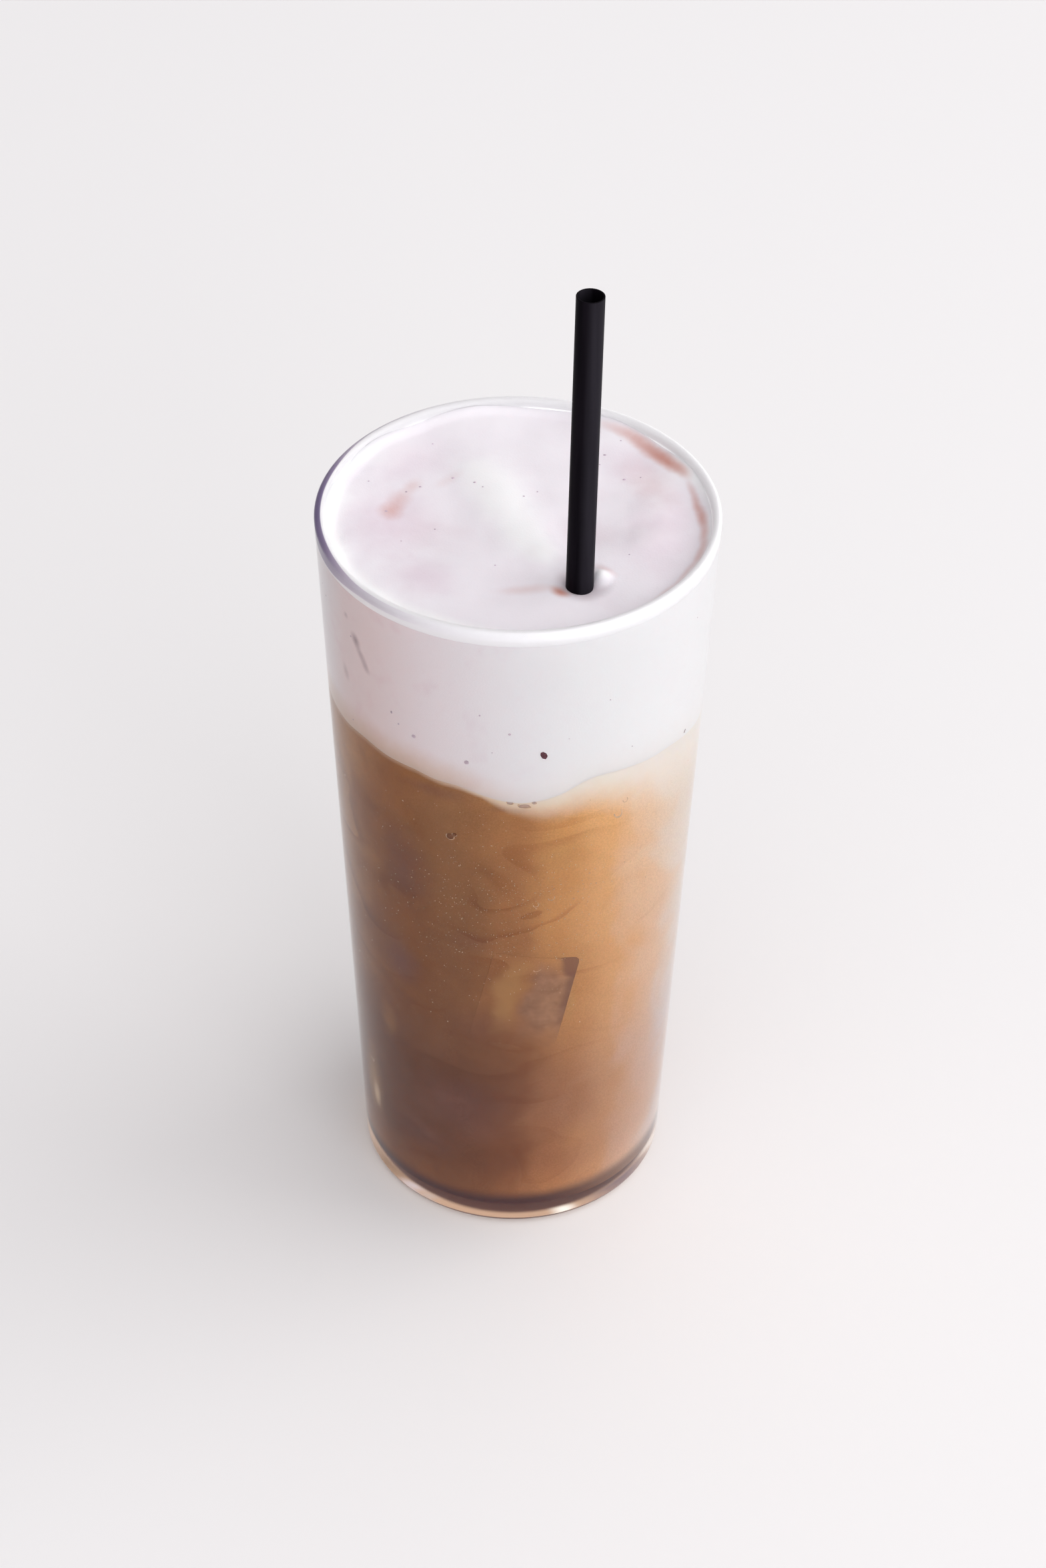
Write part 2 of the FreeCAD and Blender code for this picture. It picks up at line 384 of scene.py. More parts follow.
def straw_axis():
    """Foot and tip of the straw's axis, from its box: it leans towards +X and +Y."""
    low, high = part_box("straw")
    inset = Vector((STRAW_RADIUS, STRAW_RADIUS, 0))
    return low + inset, high - inset


def straw_at(height):
    foot, tip = straw_axis()
    share = (height - foot.z) / (tip.z - foot.z)
    return foot.lerp(tip, share)


def make_foam():
    """A thick disc of foam whose underside sags and whose crown has low hills."""
    radius = inner_radius(FOAM_LEVEL) + FOAM_BITE
    foam = add_cylinder("foam_layer", radius, LINE_LEVEL, FOAM_LEVEL)
    pick_end(LINE_LEVEL)
    resize_level((inner_radius(LINE_LEVEL) + FOAM_BITE) / radius, LINE_LEVEL)
    close_flat(FLAT_BORDER)
    divide_crown(radius)
    for bearing, reach, depth in LINE_SAGS:
        raise_at(line_place(bearing), -depth, reach)
    for across, back, reach, height in CROWN_RELIEF:
        raise_at(Vector((across * MM, back * MM, FOAM_LEVEL)), height, reach)
    raise_meniscus(radius)
    dent_round_straw()
    done()
    roughen_crown(foam)
    finish_piece(foam, SOFT_ANGLE, foam_material(), "foam", "foam")
    return foam


def divide_crown(radius):
    """Divides the foam's upper face into rings round a fine grid."""
    pick_end(FOAM_LEVEL)
    for _ in range(CROWN_RINGS):
        bpy.ops.mesh.inset(thickness=RING_WIDTH)
    bpy.ops.mesh.delete(type="ONLY_FACE")
    pick_ring(FOAM_LEVEL, radius - CROWN_RINGS * RING_WIDTH, RING_SLACK)
    bpy.ops.mesh.fill_grid(span=ROUND_STEPS // 4)
    pick_end(FOAM_LEVEL)
    bpy.ops.mesh.subdivide(number_cuts=1)


def raise_meniscus(radius):
    """The foam climbs the wall a little."""
    low = FOAM_LEVEL - CROWN_DEPTH
    pick("VERT", lambda place: place.z > low and place.xy.length > radius - RING_SLACK)
    push((0, 0, MENISCUS_RISE), MENISCUS_REACH)
    for bearing, reach, height in MENISCUS_SWELLS:
        raise_at(polar(bearing, radius, FOAM_LEVEL + MENISCUS_RISE), height, reach)


def dent_round_straw():
    """A hollow round the straw, with a soft lip on its outer side."""
    centre = straw_at(FOAM_LEVEL)
    raise_at(centre, -1.6, 6.5)
    raise_at(centre + Vector((3.3 * MM, 1.5 * MM, 0)), 1.5, 3.0)


def roughen_crown(foam):
    """Low soft lumps, then fine ones, on the upper face only."""
    crown = foam.vertex_groups.new(name="crown")
    crown_name = crown.name
    low = FOAM_LEVEL - CROWN_DEPTH
    rim = inner_radius(FOAM_LEVEL) - CROWN_MARGIN
    top = [v.index for v in foam.data.vertices if v.co.z > low and v.co.xy.length < rim]
    crown.add(top, 1.0, "REPLACE")
    for name, size, height in CROWN_LAYERS:
        texture = bpy.data.textures.new(name, "CLOUDS")
        texture.noise_scale = size * MM
        texture.noise_depth = 1
        apply_modifier(foam, "DISPLACE", texture=texture, texture_coords="LOCAL",
                       strength=height * MM, direction="Z", vertex_group=crown_name)
    foam.vertex_groups.clear()


# A ring inside the rim that carries its painted light and shade: below the top of the rim,
# glass left outside it, half thickness and how far its foot reaches down.
RIM_RING_CLEARANCE = 0.30 * MM
RIM_RING_SKIN = 0.14 * MM
RIM_RING_HALF = 0.66 * MM
RIM_RING_FOOT = 2.0 * MM
RIM_RING_STEPS = 12


def make_painted_rim_light():
    """A ring inside the rim with painted light and shade: it is rounded, and its foot tapers down
    to the foam.
    """
    top = RIM_HEIGHT - RIM_RING_CLEARANCE
    centre = outer_radius(top) - RIM_RING_SKIN - RIM_RING_HALF
    deselect()
    bpy.ops.mesh.primitive_torus_add(
        major_segments=ROUND_STEPS, minor_segments=RIM_RING_STEPS, major_radius=centre,
        minor_radius=RIM_RING_HALF, location=(0, 0, top - RIM_RING_HALF),
    )
    # The ring carries the rim's painted light and shade.
    painted_rim_ring = fresh("painted_rim_light_ring")
    edit(painted_rim_ring)
    pick("VERT", lambda place: place.z < top - 1.4 * RIM_RING_HALF)
    bpy.ops.transform.translate(value=(0, 0, -RIM_RING_FOOT))
    resize_level((inner_radius(FOAM_LEVEL) + 0.1 * MM) / centre, top)
    done()
    finish_piece(painted_rim_ring, SOFT_ANGLE, painted_rim_light_material(), "foam")


# Straw


def make_straw():
    """A thin tube: a cylinder whose ends are inset and bridged into a bore."""
    foot, tip = straw_axis()
    lean = (tip - foot).normalized()
    end_dip = Vector((0, 0, STRAW_RADIUS * math.sin(lean.angle(Vector((0, 0, 1))))))
    foot = foot + end_dip
    tip = tip - end_dip
    length = (tip - foot).length
    straw = add_cylinder("drinking_straw", STRAW_RADIUS, 0.0, length, STRAW_STEPS)
    pick("FACE", lambda place: place.xy.length < 0.1 * MM)
    bpy.ops.mesh.inset(thickness=STRAW_WALL)
    bpy.ops.mesh.bridge_edge_loops()
    pick("EDGE", lambda place: min(place.z, length - place.z) < 0.01 * MM
         and place.xy.length > STRAW_RADIUS - STRAW_WALL * 1.2)
    round_off(STRAW_ROUNDING, SMALL_ROUNDING_STEPS)
    done()
    straw.rotation_mode = "QUATERNION"
    straw.rotation_quaternion = lean.to_track_quat("Z", "Y")
    straw.location = foot
    settle(straw)
    finish_piece(straw, EDGE_ANGLE, straw_material(), "straw", "straw")


# Ice

# Each block of ice: bearing, distance from the axis, height, half sizes, and how it leans.
ICE_BLOCKS = (
    (3.5, 24.0, 63.0, (8.2, 10.0, 12.0), (0.0, 11.0, 2.0)),
    (118.0, 24.0, 86.0, (9.0, 10.0, 10.0), (8.0, -17.0, 10.0)),
    (160.0, 23.0, 56.0, (10.0, 10.0, 9.0), (-6.0, 24.0, -8.0)),
    (-152.0, 24.0, 90.0, (9.0, 10.0, 11.0), (5.0, -9.0, 6.0)),
    (-108.0, 22.0, 60.0, (8.0, 9.0, 11.0), (-4.0, 16.0, 12.0)),
)
ICE_ROUNDING = 1.4 * MM


def make_ice():
    """Blocks of ice with soft edges, pressed against the wall and flush with it."""
    cavity = add_filling("trim_cavity", FLOOR - ICE_BITE, LINE_LEVEL, ICE_BITE)
    done()
    material = ice_material()
    for index, (bearing, distance, height, halves, lean) in enumerate(ICE_BLOCKS):
        block = make_soft_block(halves)
        turn = turned(bearing, "Z")
        for angle, axis in zip(lean, "XYZ"):
            turn = turn @ turned(angle, axis)
        place = Matrix.Translation(polar(bearing, distance * MM, height * MM)) @ turn
        block.matrix_world = place
        select_only(block)
        block = fresh(f"ice_block_{index + 1}")
        apply_modifier(block, "BOOLEAN", operation="INTERSECT", object=cavity, solver="EXACT")
        store_ice_place(block, place.inverted(), halves)
        finish_piece(block, CRISP_ANGLE, material, "coffee")
    bpy.data.objects.remove(cavity)


def turned(angle, axis):
    """A turn by an angle in degrees."""
    return Matrix.Rotation(math.radians(angle), 4, axis)


def make_soft_block(halves):
    """A block with rounded edges, from its half sizes."""
    deselect()
    bpy.ops.mesh.primitive_cube_add(size=2.0)
    block = bpy.context.object
    block.scale = [half * MM for half in halves]
    settle(block)
    edit(block)
    bpy.ops.mesh.select_all(action="SELECT")
    round_off(ICE_ROUNDING, SMALL_ROUNDING_STEPS)
    done()
    return block


def store_ice_place(block, inverse, halves):
    """Keeps each vertex's place within its own block, from -1 to 1, for the material."""
    attribute = block.data.attributes.new("ice_place", "FLOAT_VECTOR", "POINT")
    for vertex, value in zip(block.data.vertices, attribute.data):
        local = inverse @ vertex.co
        value.vector = [part / (half * MM) for part, half in zip(local, halves)]


# Flecks, specks and bubbles


def scatter(name, template, places, material, slot):
    """Joins copies of a small template, one at each placement matrix, into one piece."""
    copies = []
    for placement in places:
        copy = add_object(name, template.data.copy())
        copy.matrix_world = placement
        copies.append(copy)
    deselect()
    for copy in copies:
        copy.select_set(True)
    bpy.context.view_layer.objects.active = copies[0]
    bpy.ops.object.join()
    piece = fresh(name)
    bpy.data.objects.remove(template)
    finish_piece(piece, SOFT_ANGLE, material, slot)


def at_wall(bearing, height, sink, size, spin=0.0):
    """Placement of a small piece at the inside of the wall, facing outwards along -Y."""
    height = height * MM
    place = polar(bearing, inner_radius(height) + sink * MM, height)
    shape = Matrix.Diagonal((*(part * MM for part in size), 1.0))
    return Matrix.Translation(place) @ turned(bearing, "Z") @ turned(spin, "Y") @ shape


DENT = 0.25
BUBBLE_DENT = 0.15


def template_ball(subdivisions, dent):
    """A small faceted ball, dented so that it is a little uneven."""
    deselect()
    bpy.ops.mesh.primitive_ico_sphere_add(subdivisions=subdivisions, radius=1.0)
    ball = fresh("template")
    edit(ball)
    pick_nearest(Vector((1, 0, 0.3)))
    push((-dent, 0, dent), 1.2)
    pick_nearest(Vector((-0.6, 0, -0.8)))
    push((-dent, 0, -dent * 0.5), 1.0)
    done()
    return ball


# Flecks gather round a place in front, given by a middle and a spread, or lie anywhere.
FLECK_SEED = 11
FLECK_COUNT = 1900
FRONT_SHARE = 0.72
FRONT_BEARING = (-2.0, 20.0)
FRONT_HEIGHT = (87.0, 9.5)
ANY_BEARING = (-180.0, 180.0)
ANY_HEIGHT = (50.0, 112.0)
LOWEST_FLECK = 48.0
HIGHEST_FLECK = 113.0
FLECK_SIZES = (0.030, 0.036, 0.045, 0.060, 0.11)
FLECK_LENGTHS = (1.0, 1.0, 1.3, 2.0)


def make_flecks():
    """Tiny pale flecks of milk in the coffee, at the wall, most of them in front."""
    draw = random.Random(FLECK_SEED)
    places = []
    for _ in range(FLECK_COUNT):
        front = draw.random() < FRONT_SHARE
        bearing = draw.gauss(*FRONT_BEARING) if front else draw.uniform(*ANY_BEARING)
        height = draw.gauss(*FRONT_HEIGHT) if front else draw.uniform(*ANY_HEIGHT)
        height = min(max(height, LOWEST_FLECK), HIGHEST_FLECK)
        size = draw.choice(FLECK_SIZES)
        long = draw.choice(FLECK_LENGTHS)
        spin = draw.uniform(0, 180)
        places.append(at_wall(bearing, height, 0.25, (size * long, size, size), spin))
    material = plain_material("fleck", FLECK_TAN, 0.5)
    scatter("milk_flecks", template_ball(1, DENT), places, material, "coffee")


# Specks of ground coffee in the side of the foam: bearing, height, half sizes and spin.
SIDE_SPECKS = (
    (8.2, 126.1, 0.85, 1.35, -28.0),
    (-14.6, 123.4, 0.55, 0.55, 0.0),
    (-1.8, 131.1, 0.35, 0.35, 0.0),
    (-31.6, 126.1, 0.45, 0.45, 30.0),
    (-10.5, 135.0, 0.22, 0.25, 0.0),
    (-39.5, 129.5, 0.25, 0.35, 0.0),
    (-37.0, 127.5, 0.20, 0.20, 0.0),
    (63.0, 116.8, 0.40, 0.8, 35.0),
    (128.0, 131.0, 0.40, 0.6, 20.0),
    (170.0, 127.0, 0.45, 0.7, -20.0),
    (-130.0, 134.0, 0.35, 0.5, 40.0),
    (-160.0, 124.0, 0.40, 0.4, 0.0),
)
DARK_SPECK_HEIGHT = 0.6
SPECK_SEED = 5
FAINT_SPECKS = 26
# Faint specks: lowest, highest and commonest height, and the range of their half size.
FAINT_HEIGHTS = (120.0, 148.0, 124.0)
FAINT_SIZES = (0.10, 0.20)


def make_specks():
    """Specks against the wall in the foam: a few dark ones, and faint ones all round."""
    dark = []
    faint = []
    for bearing, height, wide, tall, spin in SIDE_SPECKS:
        placement = at_wall(bearing, height, 0.18, (wide, 0.22, tall), spin)
        (dark if tall >= DARK_SPECK_HEIGHT else faint).append(placement)
    material = plain_material("ground_coffee", SPECK_BROWN, 0.6, 0.1)
    scatter("dark_specks", template_ball(2, DENT), dark, material, "foam")
    draw = random.Random(SPECK_SEED)
    for _ in range(FAINT_SPECKS):
        height = draw.triangular(*FAINT_HEIGHTS)
        size = draw.uniform(*FAINT_SIZES)
        bearing = draw.uniform(*ANY_BEARING)
        faint.append(at_wall(bearing, height, 0.20, (size, 0.16, size)))
    material = plain_material("faint_speck", SPECK_MAUVE, 0.6)
    scatter("coffee_specks", template_ball(2, DENT), faint, material, "foam")


# Specks on the crown: place and half size.
CROWN_SPECKS = (
    (-24.0, 3.0, 0.40), (-20.5, 9.0, 0.30), (-18.0, 10.5, 0.34), (-12.0, 13.0, 0.42),
    (-8.0, 11.0, 0.36), (-6.5, 9.5, 0.22), (1.0, 7.0, 0.30), (3.5, 9.0, 0.24),
    (-15.0, -2.0, 0.24), (-21.0, -6.0, 0.20), (-4.0, -13.5, 0.24), (16.0, 21.0, 0.40),
    (15.0, 18.0, 0.22), (19.5, 13.5, 0.42), (22.5, 14.0, 0.24), (14.5, 26.5, 0.30),
    (19.0, 25.0, 0.24), (20.0, -10.0, 0.18), (-16.0, 24.0, 0.26), (-27.5, 12.0, 0.24),
)
CROWN_SPECK_SHAPE = (0.8, 0.5)
CROWN_SPECK_HALF = 0.10 * MM


def on_crown(foam, across, back):
    """A place on the foam's upper face."""
    hit, place, _, _ = foam.ray_cast(Vector((across, back, 1.0)), Vector((0, 0, -1)))
    return Vector((across, back, place.z if hit else FOAM_LEVEL))


def make_crown_specks(foam):
    places = []
    for across, back, size in CROWN_SPECKS:
        wide, deep = (size * MM * share for share in CROWN_SPECK_SHAPE)
        shape = Matrix.Diagonal((wide, deep, CROWN_SPECK_HALF, 1.0))
        place = on_crown(foam, across * MM, back * MM)
        places.append(Matrix.Translation(place) @ shape)
    material = plain_material("crown_speck", CROWN_SPECK, 0.6)
    scatter("crown_specks", template_ball(2, DENT), places, material, "foam")


# Bubbles at the wall: bearing, height, half width and half height.
WALL_BUBBLES = (
    (-20.4, 104.2, 0.75, 0.70),
    (-19.0, 104.9, 0.45, 0.40),
    (2.8, 113.7, 1.1, 0.40),
    (-1.6, 114.5, 0.6, 0.35),
    (5.8, 114.4, 0.4, 0.28),
    (135.0, 108.0, 1.3, 1.1),
    (-125.0, 112.0, 1.8, 0.9),
    (178.0, 101.0, 1.1, 1.0),
)
# Pale ones show only their curl, a painted highlight.
PALE_BUBBLES = (
    (33.6, 107.4, 0.8, 1.1),
    (36.0, 110.0, 0.5, 0.6),
    (12.0, 90.0, 0.6, 0.5),
    (7.0, 88.5, 0.5, 0.4),
    (8.0, 71.5, 0.7, 0.4),
    (60.5, 63.4, 0.35, 0.35),
    (-64.0, 30.0, 0.5, 0.6),
    (100.0, 90.0, 0.8, 0.9),
)


def make_bubbles():
    """Trapped bubbles: a dark hollow with a pale curl round its lower side, a painted highlight."""
    hollows = []
    curls = []
    for bearing, height, wide, tall in WALL_BUBBLES:
        size = (wide, 0.35, tall)
        hollows.append(at_wall(bearing, height, 0.10, size))
        curls.append(at_wall(bearing, height, 0.20, size, 15.0))
    for bearing, height, wide, tall in PALE_BUBBLES:
        curls.append(at_wall(bearing, height, 0.15, (wide, 0.3, tall), -20.0))
    scatter("bubble_hollows", template_ball(3, BUBBLE_DENT), hollows, hollow_material(), "coffee")
    # The curl's pale colour is a painted highlight.
    material = plain_material("bubble_highlight_curl", CURL_TAN, 0.4)
    scatter("bubble_curls", template_curl(), curls, material, "coffee")


def template_curl():
    """An upright ring with its upper part taken away and its ends closed."""
    deselect()
    bpy.ops.mesh.primitive_torus_add(
        major_segments=32, minor_segments=8, major_radius=1.0, minor_radius=0.16,
        rotation=(math.radians(90), 0, 0),
    )
    curl = fresh("template")
    edit(curl)
    pick("FACE", lambda place: place.z > 0.35)
    bpy.ops.mesh.delete(type="FACE")
    bpy.ops.mesh.select_mode(type="EDGE")
    bpy.ops.mesh.select_all(action="SELECT")
    bpy.ops.mesh.fill_holes(sides=0)
    done()
    return curl


# Shader helpers

FLOAT = "NodeSocketFloat"
VECTOR = "NodeSocketVector"
COLOR = "NodeSocketColor"


def is_socket(value):
    return isinstance(value, bpy.types.NodeSocket)


def fill(tree, made, values):
    """Sets a node's inputs, or links them where the value is another node's output."""
    for key, value in values.items():
        if is_socket(value):
            tree.links.new(value, made.inputs[key])
        else:
            made.inputs[key].default_value = value


def node(tree, kind, values, **settings):
    """Adds a node, sets its properties and fills its inputs."""
    made = tree.nodes.new("ShaderNode" + kind)
    for key, value in settings.items():
        setattr(made, key, value)
    fill(tree, made, values)
    return made


def place_group(tree, group, values):
    return node(tree, "Group", values, node_tree=group)


def maths(tree, operation, first, second=0.0, third=0.0):
    made = node(tree, "Math", {0: first, 1: second, 2: third}, operation=operation)
    return made.outputs[0]


def product(tree, first, *others):
    """Multiplies values."""
    for other in others:
        first = maths(tree, "MULTIPLY", first, other)
    return first


def vector_maths(tree, operation, first, second=(0.0, 0.0, 0.0)):
    made = node(tree, "VectorMath", {0: first, 1: second}, operation=operation)
    gives_value = operation in ("LENGTH", "DISTANCE", "DOT_PRODUCT")
    return made.outputs["Value" if gives_value else "Vector"]


def axes(tree, vector):
    """The X, Y and Z of a vector."""
    return node(tree, "SeparateXYZ", {0: vector}).outputs


def by_x(tree, place, low, high, to_low=0.0, to_high=1.0):
    """A value that changes from one X to another, both in millimetres."""
    return spread(tree, axes(tree, place)["X"], low * MM, high * MM, to_low, to_high)


def off_axis(tree, place):
    """Distance from the glass's axis."""
    return vector_maths(tree, "LENGTH", vector_maths(tree, "MULTIPLY", place, (1.0, 1.0, 0.0)))


def noise(tree, place, scale, detail, distortion=0.0, roughness=0.5):
    """Soft noise about 0.5."""
    values = {"Vector": place, "Scale": scale, "Detail": detail, "Distortion": distortion,
              "Roughness": roughness}
    return node(tree, "TexNoise", values).outputs["Fac"]


def ramp(tree, factor, stops, interpolation="EASE"):
    """A colour ramp from (position, colour) stops."""
    made = node(tree, "ValToRGB", {"Fac": factor})
    elements = made.color_ramp.elements
    made.color_ramp.interpolation = interpolation
    while len(elements) < len(stops):
        elements.new(1.0)
    for element, (position, colour) in zip(elements, stops):
        element.position = position
        element.color = (*colour, 1.0)
    return made.outputs["Color"]


def spread(tree, value, low, high, to_low=0.0, to_high=1.0, shape="SMOOTHSTEP"):
    """Maps a value from one range to another, clamped."""
    made = node(
        tree, "MapRange",
        {"Value": value, "From Min": low, "From Max": high, "To Min": to_low, "To Max": to_high},
        interpolation_type=shape,
    )
    return made.outputs["Result"]


def blend(tree, factor, first, second, mode="MIX"):
    """Mixes two colours."""
    pair = [part if is_socket(part) else (*part, 1.0) for part in (first, second)]
    made = node(tree, "Mix", {}, data_type="RGBA", blend_type=mode, clamp_factor=True)
    fill(tree, made, {0: factor, 6: pair[0], 7: pair[1]})
    return made.outputs[2]


def new_group(name, output, kind, *inputs):
    """A shader node group that reads a place, its inputs and its end node."""
    group = bpy.data.node_groups.new(name, "ShaderNodeTree")
    group.interface.new_socket("Vector", in_out="INPUT", socket_type=VECTOR)
    for label, input_kind, value in inputs:
        socket = group.interface.new_socket(label, in_out="INPUT", socket_type=input_kind)
        socket.default_value = value
    group.interface.new_socket(output, in_out="OUTPUT", socket_type=kind)
    return group, group.nodes.new("NodeGroupInput").outputs, group.nodes.new("NodeGroupOutput")


def spot_group():
    """Mask of a soft oval spot: 1 in its middle and 0 at its edge, with a wavy outline."""
    group, given, end = new_group(
        "soft_spot", "Mask", FLOAT,
        ("Centre", VECTOR, (0, 0, 0)), ("Turn", VECTOR, (0, 0, 0)),
        ("Half Size", VECTOR, (0.01, 0.01, 0.01)), ("Waviness", FLOAT, 0.3),
        ("Wave Scale", FLOAT, 250.0),
    )
    away = vector_maths(group, "SUBTRACT", given["Vector"], given["Centre"])
    turned_back = node(group, "VectorRotate", {"Vector": away, "Rotation": given["Turn"]},
                       rotation_type="EULER_XYZ", invert=True).outputs["Vector"]
    scaled = vector_maths(group, "DIVIDE", turned_back, given["Half Size"])
    waves = noise(group, given["Vector"], given["Wave Scale"], 3.0)
    offset = product(group, maths(group, "SUBTRACT", waves, 0.5), given["Waviness"])
    reach = maths(group, "ADD", vector_maths(group, "LENGTH", scaled), offset)
    fill(group, end, {"Mask": spread(group, reach, 1.0, 0.0)})
    return group


def line_group():
    """Height above the wavy line between foam and coffee."""
    group, given, end = new_group("layer_line", "Above", FLOAT)
    x, y, z = axes(group, given["Vector"])
    flat = node(group, "CombineXYZ", {"X": x, "Y": y, "Z": LINE_LEVEL}).outputs["Vector"]
    height = maths(group, "SUBTRACT", z, LINE_LEVEL)
    for bearing, reach, depth in LINE_SAGS:
        gap = vector_maths(group, "DISTANCE", flat, line_place(bearing))
        sag = spread(group, gap, reach * MM, 0.0, 0.0, depth * MM)
        height = maths(group, "ADD", height, sag)
    fill(group, end, {"Above": height})
    return group


SOFT_SPOT = spot_group()
LAYER_LINE = line_group()


def spot_mask(tree, place, centre, half, bearing=0.0, lean=0.0, waviness=0.3, wave_scale=250.0):
    """A soft spot at a centre, with half sizes across, outwards and up, in millimetres."""
    return place_group(tree, SOFT_SPOT, {
        "Vector": place,
        "Centre": centre,
        "Turn": (0.0, math.radians(lean), math.radians(bearing)),
        "Half Size": [part * MM for part in half],
        "Waviness": waviness,
        "Wave Scale": wave_scale,
    }).outputs["Mask"]


def above_line(tree, place):
    return place_group(tree, LAYER_LINE, {"Vector": place}).outputs["Above"]


# Colours (linear)

OLIVE = (0.440, 0.192, 0.058)
ROAST = (0.340, 0.130, 0.040)
BROWN = (0.368, 0.172, 0.076)
UMBER = (0.474, 0.223, 0.093)
CARAMEL = (0.697, 0.369, 0.147)
LATTE = (0.817, 0.484, 0.227)
MILKY = (0.843, 0.584, 0.382)
CREAM = (0.820, 0.697, 0.589)
PLUM = (0.240, 0.105, 0.080)
DARK_PLUM = (0.095, 0.046, 0.052)
GOLDEN = (0.590, 0.340, 0.140)
SMOKY = (0.385, 0.225, 0.150)
SWIRL_SHADE = (0.760, 0.640, 0.580)
FRINGE_TAN = (0.600, 0.360, 0.230)
FRINGE_BUFF = (0.950, 0.790, 0.620)
FRINGE_PALE = (0.960, 0.880, 0.790)
FRINGE_CREAM = (0.920, 0.850, 0.790)
UNDERSIDE = (0.300, 0.180, 0.140)
BASE_GLOW = (0.500, 0.335, 0.230)
GLOW_SHADE = (0.030, 0.014, 0.018)
GLOW_EDGE = (0.850, 0.650, 0.510)
FOAM_WHITE = (0.970, 0.965, 0.978)
FOAM_LILAC = (0.960, 0.930, 0.960)
FOAM_SHADE_ROSE = (0.970, 0.865, 0.885)
FOAM_SHADE_PINK = (0.965, 0.800, 0.795)
FOAM_BEIGE = (0.800, 0.600, 0.480)
FOAM_MOTTLE = (0.975, 0.945, 0.958)
CROWN_WHITE = (0.935, 0.935, 0.955)
CROWN_LILAC = (0.862, 0.822, 0.872)
CROWN_MAUVE = (0.800, 0.720, 0.772)
CROWN_SHADE_PINK = (0.915, 0.850, 0.880)
CREMA = (0.600, 0.250, 0.185)
SMEAR_GREY = (0.300, 0.205, 0.235)
RIM_DUSK = (0.200, 0.155, 0.300)
RIM_VIOLET = (0.330, 0.270, 0.420)
RIM_LIGHT = (0.100, 0.100, 0.105)
STRAW_BLACK = (0.0030, 0.0022, 0.0036)
STRAW_WORN = (0.006, 0.0045, 0.007)
STRAW_SHEEN = (0.018, 0.016, 0.021)
ICE_SHADE = (0.185, 0.085, 0.070)
HOLLOW_SHADE = (0.600, 0.520, 0.540)
CURL_TAN = (0.800, 0.550, 0.360)
FLECK_TAN = (0.900, 0.680, 0.450)
SPECK_BROWN = (0.150, 0.050, 0.065)
SPECK_MAUVE = (0.660, 0.530, 0.610)
CROWN_SPECK = (0.580, 0.460, 0.560)
BLACK = (0.0, 0.0, 0.0)


# Patches in the coffee: bearing, height, half sizes, colour and strength. The two low plum
# patches on the left are painted shade, and the golden streak low on the left with its pale
# spot is a painted reflection.
COFFEE_PATCHES_AND_PAINTED_LIGHT = (
    (-38.0, 92.0, (8.0, 14.0), PLUM, 0.70),
    (-42.0, 66.0, (6.5, 8.0), PLUM, 0.85),
    # Painted shade low on the left.
    (-22.0, 32.0, (15.0, 13.0), PLUM, 0.75),
    (-36.0, 20.0, (11.0, 7.0), PLUM, 0.60),
    (-10.0, 55.0, (10.0, 8.0), PLUM, 0.35),
    (-14.0, 78.0, (6.0, 4.0), PLUM, 0.30),
    (0.0, 112.8, (6.5, 1.2), PLUM, 0.40),
    (-26.0, 114.5, (9.0, 2.2), PLUM, 0.35),
    (20.0, 62.0, (1.6, 8.0), GOLDEN, 0.45),
    (16.0, 101.0, (9.0, 7.0), GOLDEN, 0.35),
    (24.0, 22.0, (7.0, 8.0), CARAMEL, 0.30),
    # Painted reflection: a golden streak with a pale highlight.
    (-64.0, 24.0, (4.2, 12.0), GOLDEN, 0.65),
    (-62.5, 21.0, (1.7, 4.5), FLECK_TAN, 0.80),
    (-50.0, 47.0, (3.0, 6.0), OLIVE, 0.50),
    (150.0, 70.0, (12.0, 18.0), PLUM, 0.5),
    (-110.0, 52.0, (12.0, 16.0), PLUM, 0.5),
    (-150.0, 95.0, (9.0, 12.0), PLUM, 0.4),
)


def coffee_colour_group():
    """Colour of the coffee: lighter on the right, partly from milk and partly painted light from
    the window side, with painted shade towards the foot; milk gathers under the foam.
    """
    group, given, end = new_group("coffee_colour", "Color", COLOR)
    place = given["Vector"]
    # The milk share also carries painted light from the window side.
    milk = milk_and_light_share(group, place)
    colour = marbled_coffee(group, place, milk)
    for add_layer in (add_patches_and_painted_light, add_swirls, add_haze):
        colour = add_layer(group, place, colour)
    colour = add_fringe(group, place, colour, milk)
    colour = add_foot(group, place, colour)
    fill(group, end, {"Color": colour})
    return group


def milk_and_light_share(tree, place):
    """Share of milk and of painted light from the window side, from 0 on the left to 1 on the
    right, in soft clouds.
    """
    drift = maths(tree, "SUBTRACT", noise(tree, place, 55.0, 2.5, 0.8, 0.45), 0.5)
    across = maths(tree, "MULTIPLY_ADD", drift, 16.0 * MM, axes(tree, place)["X"])
    return spread(tree, across, -34.0 * MM, 34.0 * MM, shape="LINEAR")


